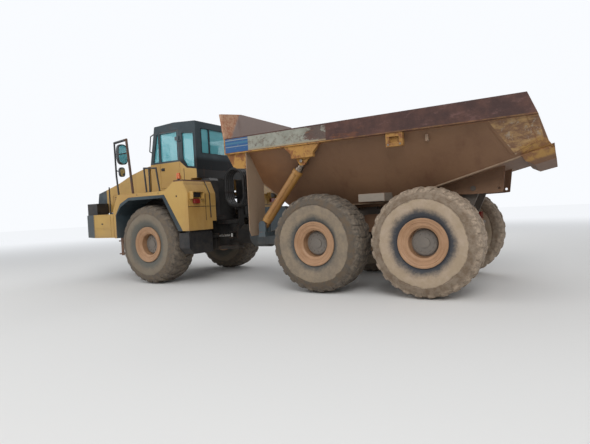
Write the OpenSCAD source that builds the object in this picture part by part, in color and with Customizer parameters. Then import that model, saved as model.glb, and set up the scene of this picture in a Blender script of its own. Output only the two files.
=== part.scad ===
// Articulated dump truck, parked with its bed down.
// +X points to the nose, +Y to the driver's left, +Z up. The origin lies on the ground
// under the middle of the truck. All sizes are in millimetres.

/* [Wheels] */
// Outside radius of a tyre
tyre_r = 920; // [880:5:950]
// Width of a tyre
tyre_w = 740; // [640:10:780]
// Radius where the tyre sits on its rim
rim_seat_r = 318; // [300:1:330]
// Outside radius of the rim's flange
rim_flange_r = 406; // [380:1:420]
// Width of a rim over its flanges
rim_w = 660; // [560:10:700]
// Thickness of a rim's flange
rim_flange_t = 26; // [18:1:40]
// Radius of the rim's open eye round the hub
rim_eye_r = 246; // [225:1:260]
// Radius of the hub
hub_r = 205; // [180:1:220]
// Distance of the hub's end from the wheel's middle plane
hub_out = 170; // [120:5:240]
// Distance between the middles of two wheels on one axle
track = 2690; // [2600:10:2760]

/* [Places along the truck] */
// Front axle, ahead of the truck's middle
front_axle_x = 2740; // [2700:10:2780]
// From the front axle to the middle axle
wheelbase = 4350; // [4300:10:4420]
// From the middle axle to the rear axle
bogie_base = 1970; // [1900:10:2050]
// Steering pivot, ahead of the truck's middle
pivot_x = 1460; // [1430:10:1500]

/* [Axles] */
// Radius of an axle's tube
axle_tube_r = 150; // [120:5:170]
// Radius of the drive case in the middle of an axle
axle_case_r = 285; // [250:5:300]
// Width of that drive case
axle_case_w = 380; // [300:10:440]
// Radius of the spindle inside a hub
spindle_r = 95; // [80:1:110]
// Gap round a pin or spindle
pin_gap = 0.5; // [0.3:0.1:1]
// Gap between parts that move past each other
move_gap = 6; // [5:0.5:10]

/* [Front frame] */
// Half width over the front frame's side plates
front_frame_y = 400; // [380:5:410]
// Thickness of those side plates
front_plate = 60; // [50:5:70]
// Underside of the front frame over the axle
front_rail_z = 1240; // [1225:5:1260]
// Top of the front frame
front_rail_top = 1530; // [1500:5:1560]
// Front end of the front frame
front_rail_x = 5060; // [5000:10:5100]

/* [Steering pivot] */
// Radius of the steering pins
kingpin_r = 70; // [55:1:85]
// Radius of the hitch's round tube
hitch_r = 200; // [180:5:215]
// Height of the hitch's middle
hitch_z = 1030; // [1020:5:1050]
// Height between the two yoke plates
yoke_open = 540; // [520:5:560]
// Thickness of a yoke plate
yoke_plate = 80; // [60:5:90]

/* [Rear frame] */
// Half width over the rear frame's rails
rear_frame_y = 560; // [540:5:580]
// Width of one rear rail
rear_rail_w = 130; // [100:5:150]
// Underside of the rear rails
rear_rail_z = 1230; // [1225:5:1250]
// Top of the rear rails
rear_rail_top = 1500; // [1480:5:1520]
// Rear end of the rear rails
rear_rail_x = -4080; // [-4100:5:-4060]

/* [Bed] */
// Height of the bed's hinge pin
bed_hinge_z = 1775; // [1765:5:1790]
// Place of the bed's hinge pin along the truck
bed_hinge_x = -4210; // [-4230:5:-4190]
// Radius of the bed's hinge pin
bed_pin_r = 45; // [35:1:55]
// Half width of the bed over its rails
bed_half_w = 1720; // [1690:5:1745]
// Height of the rail's lower edge
bed_rail_z = 2730; // [2700:10:2760]
// Height of the rail
bed_rail_h = 320; // [260:10:360]
// Width of the rail's box
bed_rail_w = 150; // [110:5:180]
// From the rail's outer face in to the side plate at the rail
bed_side_in = 120; // [105:5:140]
// Half width of the floor
bed_floor_y = 720; // [690:5:735]
// Underside of the floor
bed_floor_z = 1600; // [1590:5:1610]
// Thickness of the bed's plates
bed_plate = 32; // [20:1:45]
// Front of the bed at the rail
bed_front_x = 300; // [280:5:320]

/* [Cab] */
// Half width of the cab
cab_half_w = 920; // [900:5:930]
// Rear face of the cab
cab_rear_x = 1790; // [1775:5:1810]
// Front of the cab at the hood's top
cab_front_x = 3330; // [3315:5:3345]
// Front of the cab's roof
cab_roof_x = 3130; // [3100:5:3180]
// Top of the roof
cab_top = 3800; // [3760:10:3830]
// Thickness of the cab's walls and of its door
cab_wall = 60; // [45:1:70]
// Thickness of the glass
glass_t = 8; // [6:1:10]
// Rear edge of the door opening
door_x = 2330; // [2310:5:2350]
// Width of the door opening
door_w = 660; // [630:5:670]
// Sill of the door opening
door_z = 2230; // [2200:5:2260]
// Top of the door opening
door_top = 3610; // [3590:5:3620]

/* [Hood and front] */
// Half width of the hood
hood_half_w = 940; // [900:5:945]
// Height of the hood at the cab
hood_rear_z = 2830; // [2800:10:2860]
// Front of the hood
hood_nose_x = 5450; // [5430:5:5460]
// Thickness of the hood's panels
hood_t = 30; // [20:1:40]
// Front of the bumper
bumper_x = 5470; // [5460:5:5480]
// Top of the bumper
bumper_top = 1670; // [1640:5:1690]
// Underside of the bumper
bumper_z = 1080; // [1040:10:1120]
// Half width of the bumper
bumper_y = 1520; // [1480:5:1560]
// Thickness of the bumper's plates
bumper_t = 40; // [25:1:60]

/* [Fenders] */
// Outer side of the front fenders
fender_y = 1720; // [1700:5:1745]
// Inner side of the front fenders
fender_in_y = 955; // [950:5:970]
// Top of the fenders over the wheels
fender_top = 2120; // [2100:5:2130]
// Top of the wheel arch
arch_top = 2035; // [2010:5:2050]
// Rear face of the fenders
fender_rear_x = 1370; // [1350:5:1400]

/* [Hidden] */
// Names of all pieces
$fn = 64;

mid_axle_x = front_axle_x - wheelbase;
rear_axle_x = mid_axle_x - bogie_base;
bed_side_y = bed_half_w - bed_side_in;
wheel_y = track / 2;
wheel_z = tyre_r;
yellow = "#c9a15c";
slate = "#46525a";
dusty = "#6b4f3b";
rust = "#5a4442";
dark = "#22262a";
steel = "#8a8d90";

// Draws its children at +Y and mirrored at -Y.
module both() { children(); mirror([0, 1, 0]) children(); }

// A profile in X and Z, extruded from the height y0 to y1 along Y.
module slab_y(points, y0, y1) {
  translate([0, y1, 0]) rotate([90, 0, 0]) linear_extrude(y1 - y0) polygon(points);
}

// A profile in Y and Z, extruded from x0 to x1.
module slab_x(points, x0, x1) {
  translate([x0, 0, 0]) rotate([90, 0, 90]) linear_extrude(x1 - x0) polygon(points);
}

// A box between two corners.
module block(low, high) { translate(low) cube(high - low); }

// A round bar along Y, X or Z between two places.
module bar_y(r, y0, y1, x, z) { translate([x, y1, z]) rotate([90, 0, 0]) cylinder(r = r, h = y1 - y0); }
module bar_x(r, x0, x1, y, z) { translate([x0, y, z]) rotate([0, 90, 0]) cylinder(r = r, h = x1 - x0); }
module bar_z(r, z0, z1, x, y) { translate([x, y, z0]) cylinder(r = r, h = z1 - z0); }

// A thin tube between two points, over long by more at each end.
bar_sides = 10;
module tube(a, b, r, more = 0) {
  d = b - a;
  length = norm(d);
  u = d / length;
  translate(a - more * u) rotate([0, acos(u[2]), atan2(u[1], u[0])])
    cylinder(r = r, h = length + 2 * more, $fn = bar_sides);
}

// A thin tube through a row of points.
module bent_tube(path, r) {
  last = len(path) - 2;
  for (i = [0:last]) {
    d = path[i + 1] - path[i];
    u = d / norm(d);
    tube(path[i] - (i > 0 ? r * 0.45 : 0) * u, path[i + 1] + (i < last ? r * 0.45 : 0) * u, r);
  }
}

// Wheels. side is 1 on the left and -1 on the right.
function arc_points(centre, r, from, to, steps) =
  [for (i = [0:steps]) let (a = from + (to - from) * i / steps) centre + r * [cos(a), sin(a)]];

module wheel_place(x, side) {
  translate([x, side * wheel_y, wheel_z]) rotate([side * -90, 0, 0]) children();
}

bead_y = rim_w / 2 - rim_flange_t - 0.3;
lug_count = 20;
lug_h = 34;
// Distances in from the tread and from the sidewall, of the carcass and over its lugs
carcass = [[260, 2], [165, 10], [105, 38], [60, 85], [lug_h, 190]];
lug_line = [[160, 14], [62, 52], [0, 150]];
function tyre_half(pairs) = [for (p = pairs) [tyre_r - p[0], tyre_w / 2 - p[1]]];
// A half profile and its mirror image, as one closed outline
function whole(half) = concat(half, [for (i = [len(half) - 1:-1:0]) [half[i][0], -half[i][1]]]);
// Outline of one row of lugs round the tread, turned by some of a lug's pitch.
function lug_row(turn) = [for (i = [0:lug_count - 1]) let (pitch = 360 / lug_count, a = (i + turn) * pitch)
  for (p = [[-0.34, -180], [-0.26, 20], [0.26, 20], [0.34, -180]])
    (tyre_r + p[1]) * [cos(a + p[0] * pitch), sin(a + p[0] * pitch)]];
module tyre(x, side) {
  lug_y = tyre_w / 2 - lug_line[0][1] - 2;
  color(dark) wheel_place(x, side) {
    rotate_extrude($fn = 72) polygon(whole(concat([[rim_seat_r + 0.3, bead_y], [rim_flange_r + 12, bead_y],
      [rim_flange_r + 60, tyre_w / 2 - 30]], tyre_half(carcass))));
    intersection() {
      rotate_extrude($fn = 72) polygon(whole(concat([[tyre_r - 175, lug_y + 2]], tyre_half(lug_line))));
      union() {
        translate([0, 0, -2]) linear_extrude(lug_y + 2) polygon(lug_row(0));
        translate([0, 0, -lug_y]) linear_extrude(lug_y) polygon(lug_row(0.5));
      }
    }
  }
}

module rim(x, side) {
  flange = rim_w / 2;
  disc_t = 60;
  outer = [
    [rim_seat_r, -flange + rim_flange_t], [rim_flange_r, -flange + rim_flange_t], [rim_flange_r, -flange],
    [rim_seat_r - 30, -flange], [rim_seat_r - 30, 60], [hub_r + 40, 60],
    [hub_r + 40, 60 + disc_t], [rim_eye_r, 60 + disc_t], [rim_eye_r, flange - 60],
    [rim_eye_r + 34, flange - 34], [rim_seat_r, flange - 30], [rim_flange_r - 26, flange],
    [rim_flange_r, flange], [rim_flange_r, flange - rim_flange_t], [rim_seat_r, flange - rim_flange_t]];
  color(yellow) wheel_place(x, side) difference() {
    union() {
      rotate_extrude($fn = 72) polygon(outer);
      translate([0, 0, -hub_in]) cylinder(r = hub_r + 46, h = 120);
      translate([0, 0, -hub_in]) cylinder(r = hub_r, h = hub_in + hub_out);
      translate([0, 0, 60]) cylinder(r = hub_r + 46, h = disc_t);
    }
    translate([0, 0, -hub_in - 1]) cylinder(r = spindle_r + pin_gap, h = spindle_deep + 1);
  }
}

hub_in = 110;
spindle_deep = 200;
axle_end_y = wheel_y - hub_in - move_gap;
module axle(x) {
  bar_y(axle_tube_r, -axle_end_y, axle_end_y, x, wheel_z);
  bar_y(axle_case_r, -axle_case_w / 2, axle_case_w / 2, x, wheel_z);
  both() bar_y(axle_tube_r + 60, axle_end_y - 70, axle_end_y, x, wheel_z);
  both() bar_y(spindle_r, axle_end_y - 1, wheel_y - hub_in + spindle_deep - move_gap, x, wheel_z);
}

// Rear frame
rail_in_y = rear_frame_y - rear_rail_w;
bearing_x = [420, 820];
head_x = [-330, 420];
head_z = [820, 1650];
hoist_y = 1500;
hoist_foot = [-440, 1290];
hoist_pin_r = 36;
hoist_eye_w = 90;
head_rear_x = head_x[0] - 260;
module rear_frame() {
  color(slate) difference() {
    union() {
      both() block([rear_rail_x, rail_in_y, rear_rail_z], [head_rear_x, rear_frame_y, rear_rail_top]);
      for (x = [-1000, -2595, rear_rail_x + 60])
        block([x - 60, -rail_in_y - 1, rear_rail_z + 30], [x + 60, rail_in_y + 1, rear_rail_top - 40]);
      both() slab_y(concat([[rear_rail_x + 260, rear_rail_top - 60], [bed_hinge_x + 130, rear_rail_z],
        [bed_hinge_x + 40, rear_rail_top - 60]],
        [for (p = arc_points([bed_hinge_x, bed_hinge_z], 95, 200, 20, 10)) p]),
        rail_in_y, rail_in_y + 60);
      both() bar_y(bed_pin_r, rail_in_y + 30, rear_frame_y + 70, bed_hinge_x, bed_hinge_z);
      // pads that the bed rests on
      both() for (x = pad_x)
        block([x - 130, rail_in_y + 15, rear_rail_top - 1], [x + 130, rear_frame_y - 15, bed_floor_z - move_gap]);
      // tow pin lugs
      for (z = [tow_z - 110, tow_z + 70])
        block([rear_rail_x - 210, -110, z], [rear_rail_x + 40, 110, z + 40]);
      block([rear_rail_x, -rail_in_y - 1, tow_z - 150], [rear_rail_x + 50, rail_in_y + 1, rear_rail_z + 60]);
      both() block([rear_rail_x, rail_in_y - 40, tow_z - 150], [rear_rail_x + 50, rear_frame_y, rear_rail_z + 1]);
    }
    bar_z(tow_r, tow_z - 150, tow_z + 150, rear_rail_x - 130, 0);
  }
}

// Deep head of the rear frame, with the bearing of the hitch and the arms that carry the hoists
module frame_head() {
  color(slate) difference() {
    union() {
      both() slab_y([[head_rear_x, rear_rail_z], [head_x[0], head_z[0]], [head_x[1], head_z[0]],
        [head_x[1], head_z[1]], [head_x[0], head_z[1]], [head_x[0] - 160, rear_rail_top],
        [head_rear_x, rear_rail_top]], rail_in_y, rear_frame_y);
      block([head_x[1] - 90, -rear_frame_y, head_z[0]], [head_x[1], rear_frame_y, head_z[1]]);
      bar_x(hitch_r + 110, head_x[1] - 1, bearing_x[1], 0, hitch_z);
      block([shaft_end_x, -rail_in_y - 1, head_z[0]], [shaft_end_x + 50, rail_in_y + 1, head_z[0] + 320]);
      both() block([hoist_foot[0] - 75, rear_frame_y - 1, 1060], [hoist_foot[0] + 75, hoist_y + 110, 1150]);
      both() for (y = [hoist_y - hoist_eye_w / 2 - 50, hoist_y + hoist_eye_w / 2 + 10])
        slab_y(concat([[hoist_foot[0] + 75, 1149], [hoist_foot[0] - 75, 1149]],
          arc_points(hoist_foot, 80, 180, 0, 10)), y, y + 40);
      both() bar_y(hoist_pin_r, hoist_y - hoist_eye_w / 2 - 20, hoist_y + hoist_eye_w / 2 + 20,
        hoist_foot[0], hoist_foot[1]);
    }
    bar_x(hitch_r + pin_gap, head_x[1] - 91, bearing_x[1] + 1, 0, hitch_z);
  }
}
tow_z = 1080;
tow_r = 32;

module bogie_axles() { color(slate) for (x = [mid_axle_x, rear_axle_x]) axle(x); }

// Beams that carry the two rear axles and pivot under the frame.
beam_y = [600, 780];
module bogie_beams() {
  pivot = (mid_axle_x + rear_axle_x) / 2;
  under = wheel_z + axle_tube_r;
  color(dusty) both() {
    slab_y([[mid_axle_x + 170, under], [mid_axle_x + 170, under + 110], [pivot + 240, 1400], [pivot - 240, 1400],
      [rear_axle_x - 170, under + 110], [rear_axle_x - 170, under]], beam_y[0], beam_y[1]);
    bar_y(95, rear_frame_y, beam_y[0] + 1, pivot, 1310);
  }
}

shaft_r = 62;
shaft_end_x = head_x[0];
module drive_shafts() {
  color(dark) {
    bar_x(shaft_r, mid_axle_x + axle_case_r, shaft_end_x, 0, wheel_z);
    bar_x(shaft_r, rear_axle_x + axle_case_r, mid_axle_x - axle_case_r, 0, wheel_z);
  }
}

lamp_y = 800;
module tail_lamps() {
  color("#7a2018") both() {
    block([rear_rail_x, rear_frame_y, 1250], [rear_rail_x + 12, lamp_y + 130, 1290]);
    block([rear_rail_x - 60, lamp_y - 130, 1200], [rear_rail_x, lamp_y + 130, 1340]);
  }
}

// Hitch between the two frames: it turns along the truck in the rear frame's bearing, and the
// front frame steers round its upright pins.
yoke_z = [hitch_z - yoke_open / 2, hitch_z + yoke_open / 2];
module hitch_block() {
  color(slate) {
    bar_z(kingpin_r + 90, yoke_z[0] + move_gap, yoke_z[1] - move_gap, pivot_x, 0);
    bar_z(kingpin_r, yoke_z[0] - yoke_plate - 20, yoke_z[1] + yoke_plate + 20, pivot_x, 0);
    bar_x(hitch_r + 30, bearing_x[1] + move_gap, pivot_x - 60, 0, hitch_z);
    bar_x(hitch_r, head_x[1] - 90 - 40, pivot_x - 60, 0, hitch_z);
    bar_x(hitch_r + 60, head_x[1] - 90 - 80, head_x[1] - 90 - move_gap, 0, hitch_z);
    both() for (z = [hitch_z - steer_eye_h / 2 - 10 - fork_t, hitch_z + steer_eye_h / 2 + 10])
      block([steer_eye[0] - 55, hitch_r - 20, z], [steer_eye[0] + 55, steer_eye[1] + 60, z + fork_t]);
    block([hose_x - 18, 30, hitch_z], [hose_x + 18, 200, hose_low_z - hose_r]);
    block([hose_x - 18, 30, hose_low_z - hose_r - 40], [hose_x + 18, 330, hose_low_z - hose_r]);
  }
}

// Bundle of hoses that loops over the steering pivot.
hose_r = 38;
hose_count = 4;
hose_loop_r = 272;
hose_low_z = 1720;
hose_straight = 340;
hose_x = pivot_x - 270;
fork_t = 36;
module hose_loops() {
  color(dark) for (i = [0:hose_count - 1]) let (y = 68 + i * 2.1 * hose_r)
    translate([hose_x, y, hose_low_z + hose_loop_r]) rotate([90, 0, 0]) {
      rotate_extrude(angle = -180, $fn = 48) translate([hose_loop_r, 0]) circle(r = hose_r, $fn = 24);
      translate([0, hose_straight, 0]) rotate_extrude(angle = 180, $fn = 48)
        translate([hose_loop_r, 0]) circle(r = hose_r, $fn = 24);
      for (x = [-hose_loop_r, hose_loop_r]) translate([x, 0, 0]) rotate([-90, 0, 0])
        cylinder(r = hose_r, h = hose_straight, $fn = 24);
    }
}

// Front frame with the yoke that straddles the hitch
yoke_x = 1760;
mount_x = [2110, 3250];
arm_z = [1420, 1500];
module front_frame() {
  in_y = front_frame_y - front_plate;
  low = yoke_z[0] - yoke_plate;
  color(slate) difference() {
    union() {
      both() slab_y([[yoke_x, low], [2330, low], [2480, front_rail_z], [front_rail_x, front_rail_z],
        [front_rail_x, front_rail_top], [yoke_x, front_rail_top]], in_y, front_frame_y);
      block([yoke_x, -in_y - 1, low], [yoke_x + 80, in_y + 1, front_rail_top]);
      for (z = [low, yoke_z[1]])
        translate([0, 0, z]) linear_extrude(yoke_plate)
          polygon(concat([[yoke_x + 1, -in_y], [yoke_x + 1, in_y]],
            arc_points([pivot_x, 0], kingpin_r + 110, 90, 270, 12)));
      // cross bar that carries the hood's hinge
      block([front_rail_x - 80, -hood_ear_y[1], front_rail_top - 80], [front_rail_x, hood_ear_y[1], front_rail_top]);
      both() slab_y([[front_rail_x - 80, front_rail_top - 80], [front_rail_x + 50, front_rail_top - 80],
        [front_rail_x + 50, bumper_top + 12], [hood_axis[0] + 12, bumper_top + 12],
        [hood_axis[0] + 12, hood_axis[1] + 12], [front_rail_x - 20, hood_axis[1] + 12]], hood_ear_y[0], hood_ear_y[1]);
      both() bar_y(hood_pin_r, hood_ear_y[0] + 5, hood_ear_y[1] + 40, hood_axis[0], hood_axis[1]);
      for (x = mount_x) {
        block([x, -in_y - 1, front_rail_top - 120], [x + 120, in_y + 1, front_rail_top]);
        both() block([x, in_y, front_rail_top - 1], [x + 120, front_frame_y + 160, cab_floor_z]);
      }
      // arms to the fenders and the bumper
      both() block([1480, in_y, arm_z[0]], [yoke_x + 1, front_frame_y, arm_z[1]]);
      both() block([1480, front_frame_y - 1, arm_z[0]], [1570, wedge_in_y, arm_z[1]]);
      block([1760, -front_frame_y, front_rail_top - 1], [cab_rear_x - 5, front_frame_y, cab_tail_z - 10]);
      both() block([fender_front_x - 75, front_frame_y - 1, arm_z[0]], [fender_front_x - 5, fender_in_y, arm_z[1]]);
      both() block([side_x[1] - 130, front_frame_y - 1, 1260], [side_x[1] - 20, bumper_y - bumper_t, 1400]);
      both() block([strut_x[0], front_frame_y - 1, strut_top], [strut_x[1], strut_y + 90, front_rail_top]);
      // forks and pins of the steering cylinders
      both() for (z = [hitch_z - steer_eye_h / 2 - 8 - fork_t, hitch_z + steer_eye_h / 2 + 8])
        block([steer_foot[0] - 70, front_frame_y - 1, z], [steer_foot[0] + 60, steer_foot[1] + 60, z + fork_t]);
      both() bar_z(steer_pin_r, hitch_z - steer_eye_h / 2 - 20, hitch_z + steer_eye_h / 2 + 20,
        steer_foot[0], steer_foot[1]);
    }
    bar_z(kingpin_r + pin_gap, low - 1, yoke_z[0] + 1, pivot_x, 0);
    bar_z(kingpin_r + pin_gap, yoke_z[1] - 1, yoke_z[1] + yoke_plate + 1, pivot_x, 0);
  }
}
cab_floor_z = 2160;
strut_x = [front_axle_x - 90, front_axle_x + 90];
strut_y = 620;
strut_top = 1450;

module front_axle() {
  color(slate) {
    axle(front_axle_x);
    both() bar_z(70, wheel_z + axle_tube_r - 40, strut_top, front_axle_x, strut_y);
  }
}

engine_x = [3480, 4950];
module engine() {
  in_y = front_frame_y - front_plate;
  color(dark) {
    block([engine_x[0], -in_y + 20, 1050], [engine_x[1], in_y - 20, 2020]);
    for (x = [engine_x[0] + 120, engine_x[1] - 240])
      block([x, -front_frame_y + 10, front_rail_top], [x + 120, front_frame_y - 10, front_rail_top + 60]);
  }
}

// Bumper: a slate nose with yellow sides
side_x = [4090, 4860];
module bumper_nose() {
  outer = [[side_x[1], bumper_y], [bumper_x, bumper_y - 240], [bumper_x, -bumper_y + 240], [side_x[1], -bumper_y],
    [side_x[1], -bumper_y + bumper_t], [bumper_x - bumper_t, -bumper_y + 255],
    [bumper_x - bumper_t, bumper_y - 255], [side_x[1], bumper_y - bumper_t]];
  color(slate) {
    translate([0, 0, bumper_z]) linear_extrude(bumper_top - bumper_z) polygon(outer);
    translate([0, 0, bumper_top - bumper_t]) linear_extrude(bumper_t)
      polygon([[side_x[1], bumper_y], [bumper_x, bumper_y - 240], [bumper_x, -bumper_y + 240], [side_x[1], -bumper_y],
        [side_x[1], -bumper_y + 560], [5140, -bumper_y + 620], [5140, bumper_y - 620], [side_x[1], bumper_y - 560]]);
  }
}

module bumper_sides() {
  color(yellow) both() {
    block([side_x[0], bumper_y - bumper_t, bumper_z], [side_x[1], bumper_y, bumper_top]);
    block([side_x[0], fender_in_y + 20, bumper_top - bumper_t], [side_x[1], bumper_y - bumper_t, bumper_top]);
    block([side_x[0], fender_in_y + 20, bumper_z], [side_x[0] + bumper_t, bumper_y - bumper_t, bumper_top - bumper_t]);
    // recess with the steps, between the bumper and the fender
    block([fender_front_x, bumper_y - 500, 1330], [side_x[0] + 1, bumper_y - bumper_t - 20, 1370]);
    block([fender_front_x, 1110, bumper_top - bumper_t], [side_x[0] + 1, bumper_y, bumper_top]);
    block([fender_front_x, 1110, bumper_z], [side_x[0] + 1, 1110 + bumper_t, bumper_top - bumper_t + 1]);
  }
}
fender_front_x = 3820;

module lamps() {
  color(dark) both() {
    block([4960, 985, bumper_top], [5350, 1330, bumper_top + 300]);
    block([fender_rear_x - 60, 1380, 1940], [fender_rear_x, 1620, 2040]);
  }
}

// Fenders: closed bands of plate round the wheel arch, with a wedge box behind the wheel
wedge_in_y = 820;
wedge_top = 2300;
wedge_x = [1490, 1790, 2050];
wedge_low = 1400;
fender_low = 1215;
lip_t = 16;
lip_h = 70;
arch_x = 3740;
arch = [[1560, fender_low], [2070, arch_top], [3250, arch_top], [3560, 1900], [arch_x, 1640], [arch_x, bumper_z]];
// Front slope of a fender, from its foot to its flat top
fender_slope = [[fender_front_x, 1760], [3640, fender_top]];
module fenders() {
  color(yellow) both() {
    slab_y(concat([[fender_front_x, bumper_z]], fender_slope, [[wedge_x[2], fender_top], [wedge_x[1], wedge_top],
      [wedge_x[0], wedge_top], [fender_rear_x, 2030], [fender_rear_x, fender_low]], arch), fender_in_y, fender_y);
    // the wedge reaches in behind the wheel
    slab_y([[wedge_x[1], wedge_top - 40], [wedge_x[1], wedge_top], [wedge_x[0], wedge_top],
      [fender_rear_x, 2030], [fender_rear_x, wedge_low], [1600, wedge_low]], wedge_in_y, fender_in_y + 1);
  }
}

// Dark lips that line the arches: a flange at the outer side and a thin lining
module arch_lips() {
  color(slate) both() difference() {
    slab_y(concat(arch, [[arch_x - lip_t, bumper_z], [arch_x - lip_t, 1640 - lip_t / 2],
      [3560 - lip_t, 1900 - lip_h], [3250, arch_top - lip_h], [2130, arch_top - lip_h], [1690, fender_low]]),
      fender_in_y, fender_y);
    slab_y([[1560 + lip_t, fender_low - 1], [1560 + lip_t, fender_low + 1], [2070 + lip_t, arch_top - lip_t],
      [3240, arch_top - lip_t], [3560 - lip_t, 1900 - lip_t], [arch_x - lip_t, 1640 - lip_t / 2],
      [arch_x - lip_t, fender_low - 1]], fender_in_y - 1, fender_y - lip_t);
  }
}

// Tanks behind the cab, on the arms to the fenders
module rear_tanks() {
  color(dark) both() slab_y([[1520, arm_z[1]], [1750, arm_z[1]], [1775, 1560], [1775, cab_tail_z - 20],
    [1560, cab_tail_z - 20], [1520, cab_tail_z - 80]], front_frame_y + 100, wedge_in_y - 20);
}

module side_boxes() {
  color(dark) both() {
    slab_x([[fender_in_y, 700], [1560, 700], [1700, 840], [1700, 1170], [fender_in_y, 1170]], 1400, 1700);
    block([1420, 1000, 1169], [1540, 1650, fender_low]);
  }
}

// Cab. d is how far a surface lies inside the outer one.
cab_tail_z = 2420;
sill = [[cab_rear_x, 2620], [1850, 2645], [2110, 2680], [door_x - 10, 2850], [cab_front_x, 2850]];
roof_dip = [45, 30];
function cab_profile(d, low) = [
  [cab_rear_x + d, low], [cab_rear_x + d, cab_top - roof_dip[0] - d], [2470, cab_top - d],
  [cab_roof_x - d, cab_top - roof_dip[1] - d], [cab_front_x - d, hood_rear_z], [cab_front_x - d, low]];
// Place of the cab's front face at a height above the hood
function cab_front_at(z) = cab_front_x
  - (z - hood_rear_z) * (cab_front_x - cab_roof_x) / (cab_top - roof_dip[1] - hood_rear_z);
module cab_block(d, low) {
  slab_y(cab_profile(d, low), -cab_half_w + d, cab_half_w - d);
}
module cab_windows(grow) {
  g = grow;
  rear_z = [3020, 3600];
  front_z = [2890, 3620];
  post_x = door_x + door_w + 22;
  for (y = [[-720, -460], [-430, 430], [460, 720]])
    block([cab_rear_x - 50, y[0] - g, rear_z[0] - g], [cab_rear_x + 100, y[1] + g, rear_z[1] + g]);
  block([cab_roof_x - 200, -800 - g, front_z[0] - g], [cab_front_x + 100, 800 + g, front_z[1] + g]);
  both() slab_y([[1862 - g, 2690 - g], [2095, 2720 - g], [2215 + g, 2900], [2215 + g, 3520 + g],
    [1862 - g, 3480 + g]], cab_half_w - 100, cab_half_w + 50);
  both() slab_y([[post_x - g, front_z[0] - g], [cab_front_at(front_z[0]) - 105 + g, front_z[0] - g],
    [cab_front_at(3570) - 115 + g, 3570 + g], [post_x - g, 3570 + g]], cab_half_w - 100, cab_half_w + 50);
  mirror([0, 1, 0]) side_window(g);
}
module side_window(g) {
  slab_y([[door_x + 55 - g, 2890 - g], [door_x + door_w - 35 + g, 2890 - g],
    [door_x + door_w - 35 + g, 3570 + g], [door_x + 55 - g, 3570 + g]], cab_half_w - 100, cab_half_w + 50);
}
module door_hole() {
  block([door_x, cab_half_w - cab_wall - 1, door_z], [door_x + door_w, cab_half_w + 10, door_top]);
}
module cab_tub() {
  low_part = concat([[cab_rear_x - 1, cab_tail_z], [1990, cab_tail_z], [2090, cab_floor_z],
    [cab_front_x + 1, cab_floor_z]],
    [for (i = [len(sill) - 1:-1:0]) sill[i]]);
  color(yellow) difference() {
    intersection() {
      cab_block(0, cab_floor_z);
      slab_y(low_part, -cab_half_w, cab_half_w);
    }
    slab_y([[cab_rear_x + cab_wall, cab_tail_z + cab_wall], [2020, cab_tail_z + cab_wall], [2120, cab_floor_z + cab_wall],
      [cab_front_x - cab_wall, cab_floor_z + cab_wall], [cab_front_x - cab_wall, 3000], [cab_rear_x + cab_wall, 3000]],
      -cab_half_w + cab_wall, cab_half_w - cab_wall);
    door_hole();
  }
  color(yellow) door_pin(door_hinge_z[0]);
}
module cab_upper() {
  color(slate) difference() {
    intersection() {
      cab_block(0, cab_floor_z);
      slab_y(concat(sill, [[cab_front_x, cab_top + 10], [cab_rear_x, cab_top + 10]]), -cab_half_w, cab_half_w);
    }
    cab_block(cab_wall, cab_floor_z);
    cab_windows(0);
    door_hole();
  }
  color(slate) door_pin(door_hinge_z[1]);
}
module cab_glass() {
  color("#9fb8b4") intersection() {
    difference() {
      cab_block(25, cab_floor_z);
      cab_block(25 + glass_t, cab_floor_z - 1);
    }
    cab_windows(-0.3);
  }
}
module door() {
  g = move_gap;
  color(slate) difference() {
    block([door_x + g, cab_half_w - cab_wall, door_z + g], [door_x + door_w - g, cab_half_w, door_top - g]);
    side_window(0);
  }
  color(slate) for (z = door_hinge_z) difference() {
    union() {
      bar_z(knuckle_r, z, z + 90, door_axis[0], door_axis[1]);
      block([door_axis[0], cab_half_w + 2, z], [door_x + 110, door_axis[1], z + 90]);
      block([door_x + g + 10, cab_half_w - 1, z], [door_x + 110, door_axis[1], z + 90]);
    }
    bar_z(hinge_pin_r + pin_gap, z - 1, z + 91, door_axis[0], door_axis[1]);
  }
}
knuckle_r = 15;
hinge_pin_r = 7;
door_axis = [door_x - 4, cab_half_w + knuckle_r + 2];
door_hinge_z = [door_z + 200, door_top - 250];
// A pin of the door's hinge on its strap; z is the knuckle's lower end.
module door_pin(z) {
  bar_z(hinge_pin_r, z - 30, z + 80, door_axis[0], door_axis[1]);
  block([door_axis[0] - 60, cab_half_w - 1, z - 32], [door_axis[0] + hinge_pin_r, door_axis[1] + hinge_pin_r, z - 6]);
}
module door_glass() {
  color("#9fb8b4") intersection() {
    block([door_x, cab_half_w - 25 - glass_t, door_z], [door_x + door_w, cab_half_w - 25, door_top]);
    side_window(-0.3);
  }
}

seat_x = 2150;
module seat() {
  floor_z = cab_floor_z + cab_wall;
  color(dark) {
    block([seat_x + 60, -180, floor_z], [seat_x + 440, 180, floor_z + 330]);
    block([seat_x, -260, floor_z + 330], [seat_x + 520, 260, floor_z + 460]);
    slab_y([[seat_x + 20, floor_z + 459], [seat_x + 150, floor_z + 459], [seat_x + 30, floor_z + 1080],
      [seat_x - 70, floor_z + 1080]], -240, 240);
  }
}

module steering_wheel() {
  floor_z = cab_floor_z + cab_wall;
  hub = [2860, 0, floor_z + 690];
  dash_x = cab_front_x - cab_wall - 210;
  color(dark) {
    block([dash_x, -330, floor_z], [dash_x + 160, 330, floor_z + 640]);
    tube([dash_x + 20, 0, floor_z + 480], hub, 40);
    translate(hub) rotate([0, -35, 0]) {
      rotate_extrude($fn = 48) translate([205, 0]) circle(r = 16, $fn = 16);
      for (a = [90, 210, 330]) rotate([0, 0, a]) translate([0, -15, -8]) cube([200, 30, 16]);
      cylinder(r = 45, h = 30, center = true);
    }
  }
}

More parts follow.
